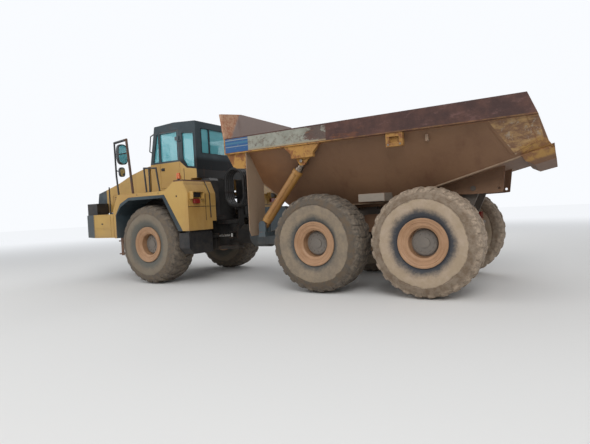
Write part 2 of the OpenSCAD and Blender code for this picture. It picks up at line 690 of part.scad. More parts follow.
// Mirror stands on the fenders
// Points of a rounded upright shape in Y and Z
function oval(c, ry, rz) = [for (a = [0:15:345])
  c + [ry * sign(cos(a)) * pow(abs(cos(a)), 0.7), rz * sign(sin(a)) * pow(abs(sin(a)), 0.7)]];
module mirrors() {
  r = 22;
  y = 1560;
  color(dark) both() {
    difference() {
      union() {
        bent_tube([[3260, y, fender_top - 60], [3400, y, 3430], [3840, y, 3395]], 30);
        bent_tube([[3840, y, 3395], [3830, y, 2600], [3755, y, 1850]], r);
      }
      slab_y(concat(fender_slope, [[3200, fender_top], [3200, fender_slope[0][1]]]), 0, fender_y);
    }
    slab_x(oval([y - 10, 3095], 145, 245), 3560, 3630);
    tube([3370, y, 3110], [3600, y, 3110], 14);
    slab_x(oval([y - 10, 2675], 80, 115), 3610, 3660);
    tube([3820, y, 2720], [3640, y, 2690], 14);
    bar_z(16, bumper_top, 2350, 4260, bumper_y - 60);
  }
}

module handrails() {
  r = 20;
  y = 1670;
  color(dark) both() {
    difference() {
      bent_tube([[2668, y, fender_top - 60], [2723, y, 2680], [2333, y, 2650], [2238, y, fender_top - 60]], r);
      block([2100, y - 50, fender_top - 200], [2900, y + 50, fender_top]);
    }
    bar_z(r - 2, fender_top, 2665, 2560, y);
  }
  // grab bar on the cab's front edge
  grab_y = cab_half_w - 20;
  color(dark) both() difference() {
    bent_tube([[3120, grab_y, 3622], [3292, grab_y, 3562], [3352, grab_y, 3194], [3220, grab_y, 3120]], 14);
    cab_block(0, cab_floor_z);
  }
}

module steps() {
  color(rust) both() {
    for (y = [1180, 1440]) block([3850, y, 640], [3930, y + 20, 1330]);
    for (z = [660, 980]) block([3830, 1180, z], [4010, 1460, z + 30]);
  }
}

// Hood and nose, opened forward round a hinge over the bumper
hood_low = 1720;
hood_side_z = 2145;
hood_gap = 30;
hood_line = [[4030, 2655], [4500, 2480], [5020, 2340], [5380, 2250], [hood_nose_x, 1910], [hood_nose_x, 1870],
  [5300, 1850]];
// Points moved in from an outline that runs clockwise
function inset(p, d) = [for (i = [0:len(p) - 1])
  let (b = p[i], a = p[(i + len(p) - 1) % len(p)], c = p[(i + 1) % len(p)],
       u = (b - a) / norm(b - a), v = (c - b) / norm(c - b), m = [u[1], -u[0]], n = [v[1], -v[0]])
  b + d * (m + n) / (1 + m * n)];
module hood() {
  rear_x = cab_front_x + hood_gap;
  open_x = rear_x - 200;
  line_slope = (hood_rear_z - 10 - hood_line[0][1]) / (hood_line[0][0] - rear_x);
  outer = concat([[rear_x, hood_side_z], [rear_x, hood_rear_z - 10]], hood_line,
    [[5300, hood_low], [3840, hood_low], [3840, hood_side_z]]);
  inner = inset(concat([[open_x, hood_low - 300], [open_x, hood_rear_z - 10 + line_slope * 200]], hood_line,
    [[5300, hood_low - 300]]), hood_t);
  color(yellow) difference() {
    slab_y(outer, -hood_half_w, hood_half_w);
    slab_y(inner, -hood_half_w + hood_t, hood_half_w - hood_t);
    block([5250, -grille_y, grille_z[0]], [hood_nose_x + 10, grille_y, grille_z[1]]);
  }
  color(yellow) both() difference() {
    union() {
      bar_y(hood_pin_r + 12, hood_ear_y[1] + 6, hood_ear_y[1] + 34, hood_axis[0], hood_axis[1]);
      block([5299, hood_ear_y[1] + 6, hood_axis[1]], [hood_axis[0] + 10, hood_ear_y[1] + 34, hood_low + 28]);
    }
    bar_y(hood_pin_r + pin_gap, hood_ear_y[1], hood_ear_y[1] + 40, hood_axis[0], hood_axis[1]);
  }
}
hood_axis = [5330, 1701];
hood_pin_r = 12;
hood_ear_y = [600, 632];
grille_y = 700;
grille_z = [1950, 2190];
// Place of the nose's front face at a height
function nose_at(z) = 5380 + (2250 - z) * (hood_nose_x - 5380) / 340;
module grille_slice(y0, y1, z0, z1) {
  slab_y([[nose_at(z0) - 27, z0], [nose_at(z0) - 4, z0], [nose_at(z1) - 4, z1], [nose_at(z1) - 27, z1]], y0, y1);
}
module grille() {
  g = 0.3;
  color(dark) {
    both() grille_slice(grille_y - 25, grille_y - g, grille_z[0] + g, grille_z[1] - g);
    grille_slice(-grille_y + g, grille_y - g, grille_z[0] + g, grille_z[0] + 25);
    grille_slice(-grille_y + g, grille_y - g, grille_z[1] - 25, grille_z[1] - g);
    for (i = [1:11]) let (y = -grille_y + 2 * grille_y * i / 12)
      grille_slice(y - 8, y + 8, grille_z[0] + 20, grille_z[1] - 20);
  }
}

// Bed
tail_x = -5270;
floor_bend_x = -2780;
// Gap between welded plates
seam = 0.3;
// Half width over the side plates at a height
function bed_y(z) = bed_floor_y + (z - bed_floor_z) * (bed_side_y - bed_floor_y) / (bed_rail_z - bed_floor_z);
side_slope = (bed_side_y - bed_floor_y) / (bed_rail_z - bed_floor_z);
side_t = bed_plate * sqrt(1 + side_slope * side_slope);
bed_foot_x = -640;
front_slope = (bed_front_x - bed_foot_x) / (bed_rail_z - bed_floor_z);
front_t = bed_plate * sqrt(1 + front_slope * front_slope);
tail_low = [[-5010, 2198], [-5050, 2130], [-5180, 2060], [-5470, 2130], [-5450, 2280], [-5380, 2380]];
floor_slope = (tail_low[0][1] - bed_floor_z) / (floor_bend_x - tail_low[0][0]);
inner_z = bed_floor_z + bed_plate;
// The room between the side plates
module bed_inside() {
  in_y = side_t + seam;
  slab_x([[-bed_y(bed_floor_z) + in_y, bed_floor_z], [bed_y(bed_floor_z) - in_y, bed_floor_z],
    [bed_y(bed_rail_z) - in_y, bed_rail_z], [-bed_y(bed_rail_z) + in_y, bed_rail_z]], tail_x - 300, bed_front_x + 10);
}
// A plate raised from the left side plate by t, with its outline in X and Z
module raised(points, t) {
  intersection() {
    slab_y(points, 0, bed_half_w);
    slab_x([[bed_y(bed_floor_z) - 2, bed_floor_z], [bed_y(bed_floor_z) + t, bed_floor_z],
      [bed_side_y + t, bed_rail_z], [bed_side_y - 2, bed_rail_z]], tail_x - 300, bed_front_x + 10);
  }
}
doubler = [[-4570, bed_rail_z], [-4870, 2240], [-5235, 2390], [-5110, bed_rail_z]];
bolster = [[-5000, 2215], [-5060, 2130], [-5180, 2064], [-5464, 2131], [-5446, 2276], [-5380, 2300]];
prop_x = [-2840, -2350];
prop_z = [1640, 1780];
prop_y = 1250;
module bed_sides() {
  color(dusty) both() {
    intersection() {
      slab_y(concat([[bed_front_x, bed_rail_z], [bed_foot_x, bed_floor_z], [floor_bend_x, bed_floor_z]],
        tail_low, [[tail_x, bed_rail_z]]), 0, bed_half_w);
      slab_x([[bed_y(bed_floor_z) - side_t, bed_floor_z], [bed_y(bed_floor_z), bed_floor_z],
        [bed_side_y, bed_rail_z], [bed_side_y - side_t, bed_rail_z]], tail_x - 300, bed_front_x + 10);
    }
    raised(doubler, 16);
    raised(bolster, 40);
    slab_x([[bed_y(prop_z[0]) - 2, prop_z[0]], [prop_y, prop_z[0]], [prop_y, prop_z[1]],
      [bed_y(prop_z[1]) - 2, prop_z[1]]], prop_x[0], prop_x[1]);
  }
}
module bed_floor() {
  end_x = tail_low[4][0];
  color(dusty) intersection() {
    slab_y(concat([[bed_foot_x, bed_floor_z], [floor_bend_x, bed_floor_z]], [for (i = [0:4]) tail_low[i]],
      [[end_x, inner_z + (floor_bend_x - end_x) * floor_slope], [floor_bend_x, inner_z],
       [bed_foot_x + bed_plate * front_slope, inner_z]]), -bed_half_w, bed_half_w);
    bed_inside();
  }
}
module bed_front() {
  low = inner_z + seam;
  low_x = bed_foot_x + (low - bed_floor_z) * front_slope;
  color(dusty) intersection() {
    slab_y([[low_x, low], [bed_front_x, bed_rail_z], [bed_front_x - front_t, bed_rail_z], [low_x - front_t, low]],
      -bed_half_w, bed_half_w);
    bed_inside();
  }
}

box_x = [-3340, -3060];
module bed_rails() {
  top = bed_rail_z + bed_rail_h;
  rear_top = -5140;
  color(rust) both() {
    slab_y([[bed_front_x, bed_rail_z], [bed_front_x, top], [rear_top, top], [tail_x, bed_rail_z]],
      bed_half_w - bed_rail_w, bed_half_w);
    // brackets over the hoists' eyes
    slab_y([[hoist_eye[0] + 330, bed_rail_z + 1], [hoist_eye[0] + 180, 2580], [hoist_eye[0] + 180, 2500],
      [hoist_eye[0] - 280, 2500], [hoist_eye[0] - 280, 2580], [hoist_eye[0] - 430, bed_rail_z + 1]],
      bed_side_y + 2, bed_half_w - 30);
    slab_y([[hoist_eye[0] + 120, 2501], [hoist_eye[0] - 160, 2501], [hoist_eye[0] - 50, hoist_eye[1] - 80],
      [hoist_eye[0] + 40, hoist_eye[1] - 80]], hoist_lug_y, hoist_lug_y + 36);
    block([hoist_eye[0] - 160, hoist_lug_y, 2500], [hoist_eye[0] + 120, bed_side_y + 3, 2570]);
    // gusset under the rail's front end, and a bracket box with a hole farther back
    slab_y([[bed_front_x - 20, bed_rail_z + 1], [140, 2480], [60, 2440], [-150, 2420], [guard_x, 2440],
      [guard_x, bed_rail_z + 1]], bed_side_y + 35, bed_side_y + 65);
    difference() {
      block([box_x[0], bed_side_y + 2, 2510], [box_x[1], bed_half_w - 20, bed_rail_z + 1]);
      block([box_x[0] + 60, bed_half_w - 80, 2570], [box_x[1] - 60, bed_half_w, 2670]);
    }
    bar_y(34, hoist_lug_y + 35, hoist_lug_y + 60, hoist_eye[0], hoist_eye[1]);
  }
}
hoist_lug_y = 1572;

guard_top = 3650;
guard_t = 50;
guard_lean = 6;
fold_low = [1490, 3070];
fold_top = [1040, guard_top];
// Slopes of a flank, forward for each millimetre outward and upward
flank_out = 0.155;
flank_up = tan(guard_lean) + flank_out * (fold_low[0] - fold_top[0]) / (fold_top[1] - fold_low[1]);
flank_turn = atan(flank_out);
flank_lean = asin(flank_up / sqrt(1 + flank_out * flank_out + flank_up * flank_up));
module spill_guard() {
  low = bed_rail_z;
  in_y = bed_half_w - bed_rail_w - 2;
  rail_top = bed_rail_z + bed_rail_h;
  x0 = bed_front_x - guard_t;
  fold_x = x0 + (fold_low[1] - low) * tan(guard_lean);
  color(dusty) {
    intersection() {
      translate([x0, 0, low]) rotate([0, guard_lean, 0])
        block([0, -in_y, -50], [guard_t, in_y, 1150]);
      slab_x([[-in_y, low + seam], [in_y, low + seam], [in_y, rail_top], [fold_low[0] + 12, rail_top + 10],
        fold_low, fold_top, [-fold_top[0], fold_top[1]], [-fold_low[0], fold_low[1]],
        [-fold_low[0] - 12, rail_top + 10], [-in_y, rail_top]], bed_front_x - 300, bed_front_x + 400);
    }
    // flanks, folded forward
    both() intersection() {
      translate([fold_x, fold_low[0], fold_low[1]]) rotate([0, flank_lean, -flank_turn])
        block([0, -900, -300], [guard_t, 300, 900]);
      slab_x([[fold_low[0] - 2, rail_top], [bed_half_w - 60, rail_top], [bed_half_w - 100, guard_top - 70],
        [fold_top[0] - 3, guard_top], [fold_low[0] - 3, fold_low[1]]], bed_front_x - 300, bed_front_x + 400);
    }
  }
}

hinge_web_y = [rear_frame_y + 12, rear_frame_y + 60];
lug_hole = [-4618, 1754];
lug_r = 24;
module bed_underframe() {
  top = bed_floor_z - seam;
  web = [[floor_bend_x - seam, top], [floor_bend_x - seam, beam_low], [floor_bend_x - 200, beam_low],
    [bed_hinge_x + 260, bed_hinge_z - 90], [bed_hinge_x, bed_hinge_z - 100], [lug_hole[0] + 40, lug_hole[1] - 70],
    [lug_hole[0] - 60, lug_hole[1] - 60], [lug_hole[0] - 110, floor_at(lug_hole[0] - 110) - seam]];
  color(dusty) both() block([floor_bend_x, hinge_web_y[0], beam_low], [bed_foot_x + 40, hinge_web_y[1], top]);
  color(dusty) difference() {
    both() slab_y(web, hinge_web_y[0], hinge_web_y[1]);
    both() bar_y(bed_pin_r + pin_gap, hinge_web_y[0] - 1, hinge_web_y[1] + 1, bed_hinge_x, bed_hinge_z);
    both() bar_y(lug_r, hinge_web_y[0] - 1, hinge_web_y[1] + 1, lug_hole[0], lug_hole[1]);
  }
}
pad_x = [-720, -1500, -2300];
beam_low = rear_rail_top + 40;
function floor_at(x) = bed_floor_z + (floor_bend_x - x) * floor_slope;

guard_x = -200;
guard_in_y = 1130;
guard_out_y = 1690;
guard_low = 1080;
guard_plate = 14;
module mudguards() {
  region = [[guard_in_y, guard_low], [guard_out_y - 60, guard_low], [guard_out_y, guard_low + 110],
    [guard_out_y, bed_rail_z], [bed_y(bed_rail_z), bed_rail_z],
    [guard_in_y, bed_floor_z + (guard_in_y - bed_floor_y) / side_slope]];
  color(dusty) both() slab_x(region, guard_x - guard_plate, guard_x);
}

// Hoists: telescopes that swing on the rear frame's outriggers
hoist_eye = [-1410, 2450];
hoist_dir = (hoist_eye - hoist_foot) / norm(hoist_eye - hoist_foot);
hoist_angle = atan2(hoist_dir[1], hoist_dir[0]);
hoist_len = norm(hoist_eye - hoist_foot);
stage_r = [92, 76, 62, 48];
slide_gap = 0.7;
stage_end = [1300, 1350, 1400];
// Draws along +X from the foot pin towards the eye
module hoist_axis(side) {
  translate([hoist_foot[0], side * hoist_y, hoist_foot[1]]) rotate([0, -hoist_angle, 0]) children();
}
module hoist_tube(index, from, to, bore_deep) {
  difference() {
    bar_x(stage_r[index], from, to, 0, 0);
    bar_x(stage_r[index + 1] + slide_gap, from + bore_deep, to + 1, 0, 0);
  }
}
module hoist_barrels() {
  color(yellow) for (side = [-1, 1]) hoist_axis(side) difference() {
    union() {
      hoist_tube(0, 90, stage_end[0], 30);
      bar_y(80, -hoist_eye_w / 2, hoist_eye_w / 2, 0, 0);
      block([0, -hoist_eye_w / 2, -70], [91, hoist_eye_w / 2, 70]);
    }
    bar_y(hoist_pin_r + pin_gap, -hoist_eye_w, hoist_eye_w, 0, 0);
  }
}
module hoist_stage_a() { color(steel) for (side = [-1, 1]) hoist_axis(side) hoist_tube(1, 124, stage_end[1], 30); }
module hoist_stage_b() { color(steel) for (side = [-1, 1]) hoist_axis(side) hoist_tube(2, 158, stage_end[2], 30); }
module hoist_rods() {
  color(steel) for (side = [-1, 1]) hoist_axis(side) {
    bar_x(stage_r[3], 192, hoist_len - 60, 0, 0);
    bar_y(75, -40, 40, hoist_len, 0);
    block([hoist_len - 90, -40, -45], [hoist_len, 40, 45]);
  }
}

// Steering cylinders between the front frame and the hitch
steer_foot = [2250, 640];
steer_eye = [pivot_x - 150, 350];
steer_eye_h = 80;
steer_pin_r = 30;
steer_len = norm(steer_eye - steer_foot);
module steer_axis(side) {
  d = steer_eye - steer_foot;
  translate([steer_foot[0], side * steer_foot[1], hitch_z]) rotate([0, 0, side * atan2(d[1], d[0])]) children();
}
module steer_barrel(side) {
  color(steel) steer_axis(side) difference() {
    union() {
      bar_x(40, 30, 96, 0, 0);
      bar_x(54, 95, steer_len - 328, 0, 0);
      bar_z(56, -steer_eye_h / 2, steer_eye_h / 2, 0, 0);
    }
    bar_z(steer_pin_r + pin_gap, -steer_eye_h, steer_eye_h, 0, 0);
    bar_x(32 + slide_gap, 104, steer_len, 0, 0);
  }
}
module steer_rod(side) {
  color(steel) steer_axis(side) {
    bar_x(32, 375, steer_len - 20, 0, 0);
    bar_z(50, -steer_eye_h / 2, steer_eye_h / 2, steer_len, 0);
  }
}

rear_frame();
frame_head();
bogie_axles();
bogie_beams();
drive_shafts();
tail_lamps();
hitch_block();
hose_loops();
front_frame();
front_axle();
engine();
bumper_nose();
bumper_sides();
lamps();
fenders();
arch_lips();
rear_tanks();
side_boxes();
cab_tub();
cab_upper();
cab_glass();
seat();
steering_wheel();
mirrors();
handrails();
steps();
hood();
grille();
door();
door_glass();
bed_floor();
bed_sides();
bed_front();
bed_rails();
spill_guard();
bed_underframe();
mudguards();
hoist_barrels();
hoist_stage_a();
hoist_stage_b();
hoist_rods();
steer_barrel(1);  // steer_barrel_left
steer_barrel(-1);  // steer_barrel_right
steer_rod(1);  // steer_rod_left
steer_rod(-1);  // steer_rod_right
tyre(front_axle_x, 1);  // tyre_front_left
tyre(front_axle_x, -1);  // tyre_front_right
tyre(mid_axle_x, 1);  // tyre_mid_left
tyre(mid_axle_x, -1);  // tyre_mid_right
tyre(rear_axle_x, 1);  // tyre_rear_left
tyre(rear_axle_x, -1);  // tyre_rear_right
rim(front_axle_x, 1);  // rim_front_left
rim(front_axle_x, -1);  // rim_front_right
rim(mid_axle_x, 1);  // rim_mid_left
rim(mid_axle_x, -1);  // rim_mid_right
rim(rear_axle_x, 1);  // rim_rear_left
rim(rear_axle_x, -1);  // rim_rear_right
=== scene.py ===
import math
import random

import bmesh
import bpy
from mathutils import Matrix, Vector


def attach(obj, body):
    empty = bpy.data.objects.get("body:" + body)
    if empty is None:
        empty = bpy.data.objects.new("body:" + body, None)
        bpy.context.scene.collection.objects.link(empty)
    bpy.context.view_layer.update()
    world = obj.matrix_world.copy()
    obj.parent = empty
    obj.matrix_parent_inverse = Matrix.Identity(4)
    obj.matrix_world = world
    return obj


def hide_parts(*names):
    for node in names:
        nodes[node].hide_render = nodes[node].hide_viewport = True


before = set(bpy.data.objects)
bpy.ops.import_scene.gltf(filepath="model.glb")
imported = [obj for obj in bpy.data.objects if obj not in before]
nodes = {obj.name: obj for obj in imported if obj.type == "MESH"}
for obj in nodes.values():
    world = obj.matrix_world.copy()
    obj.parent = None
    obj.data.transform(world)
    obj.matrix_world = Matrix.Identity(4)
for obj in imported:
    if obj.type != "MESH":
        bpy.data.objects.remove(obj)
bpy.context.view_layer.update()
print("frame loaded")


# shader sums: a Wire is one output socket, and sums on it add Math nodes
class Wire:
    def __init__(self, finish, socket):
        self.finish = finish
        self.socket = socket

    def sum(self, kind, first, second):
        return self.finish.add("ShaderNodeMath", {"operation": kind}, {0: first, 1: second})

    def __add__(self, other):
        return self.sum("ADD", self, other)

    def __radd__(self, other):
        return self.sum("ADD", other, self)

    def __sub__(self, other):
        return self.sum("SUBTRACT", self, other)

    def __rsub__(self, other):
        return self.sum("SUBTRACT", other, self)

    def __mul__(self, other):
        return self.sum("MULTIPLY", self, other)

    def __rmul__(self, other):
        return self.sum("MULTIPLY", other, self)


class Finish:
    def __init__(self, name, **fixed):
        self.material = bpy.data.materials.new(name)
        self.material.use_nodes = True
        self.tree = self.material.node_tree
        self.shader = self.tree.nodes["Principled BSDF"]
        for socket, value in fixed.items():
            self.shader.inputs[socket.replace("_", " ")].default_value = value
        self.place = self.add("ShaderNodeTexCoord", output="Object")

    def add(self, kind, settings=None, values=None, output=0):  # any node: settings first, then sockets
        node = self.tree.nodes.new(kind)
        for key, value in (settings or {}).items():
            if key == "stops":
                ramp = node.color_ramp.elements
                while len(ramp) < len(value):
                    ramp.new(0.5)
                for stop, (where, colour) in zip(ramp, value):
                    stop.position = where
                    stop.color = (*colour, 1)
            else:
                setattr(node, key, value)
        for key, value in (values or {}).items():
            if isinstance(value, Wire):
                self.tree.links.new(value.socket, node.inputs[key])
            else:
                node.inputs[key].default_value = value
        return Wire(self, node.outputs[output])

    def feed(self, **wires):
        for socket, wire in wires.items():
            self.tree.links.new(wire.socket, self.shader.inputs[socket.replace("_", " ")])

    def part(self, axis):  # X, Y or Z of the place on the piece
        return self.add("ShaderNodeSeparateXYZ", None, {0: self.place}, axis)

    def across(self):  # distance from the middle plane
        return self.add("ShaderNodeMath", {"operation": "ABSOLUTE"}, {0: self.part("Y")})

    def fromAxle(self, x, z):  # distance from an axis along Y
        offset = self.add("ShaderNodeVectorMath", {"operation": "MULTIPLY_ADD"},
                          {0: self.place, 1: (1, 0, 1), 2: (-x, 0, -z)})
        return self.add("ShaderNodeVectorMath", {"operation": "LENGTH"}, {0: offset}, "Value")

    def most(self, first, second):
        return self.add("ShaderNodeMath", {"operation": "MAXIMUM"}, {0: first, 1: second})

    def noise(self, scale, detail=4.0, rough=0.55, stretch=(1, 1, 1), shift=(0, 0, 0), warp=0.0):
        spot = self.add("ShaderNodeMapping", None, {"Vector": self.place, "Scale": stretch, "Location": shift})
        return self.add("ShaderNodeTexNoise", None,
                        {"Vector": spot, "Scale": scale, "Detail": detail, "Roughness": rough, "Distortion": warp})

    def step(self, value, low, high):  # 0 below low, 1 above high, smooth between
        return self.add("ShaderNodeMapRange", {"interpolation_type": "SMOOTHSTEP"},
                        {"Value": value, "From Min": low, "From Max": high})

    def band(self, value, low, high, soft):
        return self.step(value, low - soft, low + soft) * (1 - self.step(value, high - soft, high + soft))

    def inside(self, outline, soft=0.004):  # 1 inside a convex outline in X and Z that runs anticlockwise
        x, z = self.part("X"), self.part("Z")
        held = 1
        for (startX, startZ), (endX, endZ) in zip(outline, outline[1:] + outline[:1]):
            long = math.hypot(endX - startX, endZ - startZ)
            inward = (x - startX) * ((startZ - endZ) / long) + (z - startZ) * ((endX - startX) / long)
            held = self.step(inward, -soft, soft) * held
        return held

    def mix(self, factor, first, second):
        values = {0: factor}
        for socket, colour in ((6, first), (7, second)):
            values[socket] = colour if isinstance(colour, Wire) else (*colour, 1)
        return self.add("ShaderNodeMix", {"data_type": "RGBA"}, values, 2)

    def edges(self, radius):  # 1 on edges and corners, 0 on flat faces
        soft = self.add("ShaderNodeBevel", {"samples": 4}, {"Radius": radius})
        hard = self.add("ShaderNodeNewGeometry", output="Normal")
        same = self.add("ShaderNodeVectorMath", {"operation": "DOT_PRODUCT"}, {0: soft, 1: hard}, "Value")
        return self.step(1 - same, 0.01, 0.14)

    def upward(self, low=0.3, high=0.9):
        normal = self.add("ShaderNodeNewGeometry", output="Normal")
        return self.step(self.add("ShaderNodeSeparateXYZ", None, {0: normal}, "Z"), low, high)

    def bump(self, height, strength, distance=0.01):
        self.feed(Normal=self.add("ShaderNodeBump", None,
                                  {"Height": height, "Strength": strength, "Distance": distance}))


def dress(finish, *names):
    for name in names:
        mesh = nodes[name].data
        mesh.materials.clear()
        mesh.materials.append(finish.material)


# colours that several finishes share, as linear values
paints = {
    "yellow": (0.495, 0.312, 0.090), "yellowWorn": (0.42, 0.245, 0.072), "slate": (0.026, 0.038, 0.045),
    "slateLight": (0.058, 0.080, 0.090), "dust": (0.27, 0.205, 0.145), "rust": (0.110, 0.045, 0.024),
    # the near-black grime colour is partly dirt and partly painted shade of the gap between the units
    "rustLight": (0.28, 0.110, 0.045), "black": (0.012, 0.013, 0.015), "grimeAndShade": (0.018, 0.017, 0.016),
}


def wornPaint(name, base, worn, look, marks=None):  # marks adds fields of other paint under the wear
    paint = Finish(name, Roughness=look["gloss"], Specular_IOR_Level=look["shine"])
    tint = paint.noise(0.9, 5, 0.6, shift=(3, 1, 2))
    colour = paint.mix(paint.step(tint, 0.35, 0.7), base, worn)
    if marks:
        colour = marks(paint, colour)
    streaks = paint.step(paint.noise(5, 6, 0.65, (1, 1, 0.16)), 0.55, 0.78) * look["streaks"]
    colour = paint.mix(streaks, colour, paints["rustLight"])
    splashed = 1 - paint.step(paint.part("Z"), look["splash"] - 0.5, look["splash"] + 0.5)
    dusty = paint.upward() * look["dustTop"] + splashed * look["dustLow"]
    dusty = dusty * paint.step(paint.noise(3.5, 6, 0.7), 0.25, 0.7)
    colour = paint.mix(dusty, colour, paints["dust"])
    chips = paint.step(paint.noise(16, 6, 0.7), look["chips"], look["chips"] + 0.05)
    rub = paint.edges(0.022) * paint.step(paint.noise(9, 5, 0.7, shift=(5, 0, 0)), 0.5, 0.62) * look["rub"]
    rusty = paint.mix(paint.noise(30, 4), paints["rust"], paints["rustLight"])
    bare = paint.most(chips, rub)
    colour = paint.mix(bare, colour, rusty)
    paint.feed(Base_Color=colour, Roughness=look["gloss"] + bare * 0.3 + dusty * 0.3)
    paint.bump(paint.noise(70, 5, 0.6) * 0.3 - bare * 0.6, 0.25, 0.004)
    return paint


# yellow body: slate nose, near-black wall behind the cab that is partly grime and partly painted shade, rusty plate and
# soiled rear faces of the fenders
bodyMarks = {
    "nose": (5.056, 5.060), "wall": (1.805, 1.809), "wallLow": (2.41, 2.42), "rear": (1.38, 1.50),
    "plate": (2.235, 2.255), "plateTop": (2.40, 2.41), "plateRust": ((0.060, 0.030, 0.020), (0.16, 0.075, 0.040)),
    "soil": (0.34, 0.175, 0.045), "soiled": 0.55,
}


def bodyFields(paint, colour):
    x, z = paint.part("X"), paint.part("Z")
    slate = paint.mix(paint.step(paint.noise(3, 5), 0.4, 0.7), paints["slate"], paints["slateLight"])
    colour = paint.mix(paint.step(x, *bodyMarks["nose"]), colour, slate)
    # the wall behind the cab: near black, partly grime and partly painted shade
    wall = 1 - paint.step(x, *bodyMarks["wall"])
    colour = paint.mix(wall * paint.step(z, *bodyMarks["wallLow"]), colour, paints["grimeAndShade"])
    rear = 1 - paint.step(x, *bodyMarks["rear"])
    rust = paint.mix(paint.noise(20, 6, 0.7), *bodyMarks["plateRust"])
    plate = rear * paint.step(z + paint.noise(9, 5, 0.7) * 0.05, *bodyMarks["plate"])
    colour = paint.mix(plate * (1 - wall * paint.step(z, *bodyMarks["plateTop"])), colour, rust)
    soiled = rear * paint.step(paint.noise(4, 6, 0.65, (1, 1, 0.35), shift=(0, 4, 0)), 0.38, 0.7)
    return paint.mix(soiled * bodyMarks["soiled"], colour, bodyMarks["soil"])


# slate upper cab: painted shade, near black, under its rear side window
slateMarks = {"above": (2.31, 2.32), "below": (2.83, 2.95), "behind": (2.25, 2.36), "paintedShade": (0.006, 0.008, 0.010)}


def slateFields(paint, colour):
    z = paint.part("Z")
    low = paint.step(z, *slateMarks["above"]) * (1 - paint.step(z, *slateMarks["below"]))
    # darkens the lower rear of the upper cab with painted shade
    return paint.mix(low * (1 - paint.step(paint.part("X"), *slateMarks["behind"])), colour, slateMarks["paintedShade"])


doorMarks = {"yellowTo": (2.848, 2.852)}


def doorFields(paint, colour):  # yellow below the window
    low = 1 - paint.step(paint.part("Z"), *doorMarks["yellowTo"])
    return paint.mix(low, colour, paint.mix(paint.noise(2, 4), paints["yellow"], paints["yellowWorn"]))


frameMarks = {"cakedFrom": (-1.9, -0.9), "caked": (0.130, 0.100, 0.075), "amount": 0.8}


def frameFields(paint, colour):  # caked toward the tail
    caked = 1 - paint.step(paint.part("X") + paint.noise(2, 5) - 0.5, *frameMarks["cakedFrom"])
    return paint.mix(caked * frameMarks["amount"], colour, frameMarks["caked"])


cabLook = {"shine": 0.3, "gloss": 0.42, "streaks": 0.25, "dustTop": 0.4, "dustLow": 0.45, "splash": 1.25,
           "chips": 0.735, "rub": 0.6}
slateLook = {"shine": 0.2, "gloss": 0.5, "streaks": 0.15, "dustTop": 0.3, "dustLow": 0.2, "splash": 1.25,
             "chips": 0.735, "rub": 0.5}
frameLook = {"shine": 0.5, "gloss": 0.65, "streaks": 0.2, "dustTop": 0.5, "dustLow": 0.7, "splash": 0.75,
             "chips": 0.72, "rub": 0.6, "paint": (0.040, 0.052, 0.060)}
# near-black paint of the hitch and front frame parts: partly grime, partly painted shade of the gap between the units
grimeAndShadeLook = {"shine": 0.2, "gloss": 0.7, "streaks": 0.15, "dustTop": 0.22, "dustLow": 0.38, "splash": 0.6,
             "chips": 0.75, "rub": 0.5, "worn": (0.045, 0.042, 0.040)}
hoistLook = {"shine": 0.5, "gloss": 0.45, "streaks": 0.6, "dustTop": 0.08, "dustLow": 0.3, "splash": 0.9,
             "chips": 0.66, "rub": 0.8, "paint": (0.36, 0.185, 0.042), "worn": (0.27, 0.125, 0.030)}
yellowPaint = wornPaint("yellowPaint", paints["yellow"], paints["yellowWorn"], cabLook, bodyFields)
slatePaint = wornPaint("slatePaint", paints["slate"], paints["slateLight"], slateLook, slateFields)
doorPaint = wornPaint("doorPaint", paints["slate"], paints["slateLight"], cabLook, doorFields)
hoistPaint = wornPaint("hoistPaint", hoistLook["paint"], hoistLook["worn"], hoistLook)
framePaint = wornPaint("framePaint", frameLook["paint"], paints["slateLight"], frameLook, frameFields)
grimeAndShadePaint = wornPaint("grimeAndShadePaint", paints["grimeAndShade"], grimeAndShadeLook["worn"], grimeAndShadeLook)
print("paints made")

# line that the bed's side plates follow, seen from behind
flankLine = {"y": 0.72, "z": 1.6, "slope": 0.77876}


def flankY(z):  # a number or a Wire
    return flankLine["y"] + (z - flankLine["z"]) * flankLine["slope"]


# bed: dusty paint over steel, warmer towards its front, rubbed and scratched; outlines are in X and Z
bedLook = {
    "gloss": 0.62, "scratches": 0.45, "runs": 0.45, "rub": 0.6, "dustTop": 0.5,
    "paint": (0.165, 0.086, 0.045), "warm": (0.205, 0.110, 0.056), "outer": (-0.020, -0.012),
    "frontFrom": (-1.7, 0.2), "front": ((0.16, 0.060, 0.022), (0.34, 0.16, 0.058)), "frontAmount": 0.75,
    "doubler": [(-4.60, 2.74), (-5.26, 2.74), (-5.32, 2.42), (-4.93, 2.23)],
    "doublerPaint": ((0.42, 0.26, 0.110), (0.19, 0.098, 0.054)), "doublerBare": (0.38, 0.33, 0.26),
    "pad": [(-2.34, 1.79), (-2.85, 1.79), (-2.85, 1.63), (-2.34, 1.63)],
    "padGrey": ((0.20, 0.17, 0.14), (0.29, 0.25, 0.20)),
    "tail": [(-4.98, 2.33), (-5.30, 2.46), (-5.47, 2.30), (-5.47, 2.20), (-5.06, 2.10)],
    "tailPaint": ((0.40, 0.225, 0.060), (0.22, 0.10, 0.04)), "tailAmount": 0.85,
}


def bedSteel(name, base, warm, dustTop):
    steel = Finish(name, Roughness=bedLook["gloss"])
    colour = steel.mix(steel.step(steel.noise(0.7, 6, 0.6), 0.3, 0.75), base, warm)
    colour = steel.mix(steel.upward(0.5, 0.9) * dustTop, colour, paints["dust"])
    runs = steel.step(steel.noise(3.2, 6, 0.7, (1, 1, 0.22), shift=(2, 0, 0)), 0.5, 0.75) * bedLook["runs"]
    colour = steel.mix(runs, colour, paints["rust"])
    scrapes = steel.step(steel.noise(7, 7, 0.75, (0.25, 1, 1), warp=1.5), 0.62, 0.7) * bedLook["scratches"]
    return steel, steel.mix(scrapes, colour, paints["rust"])


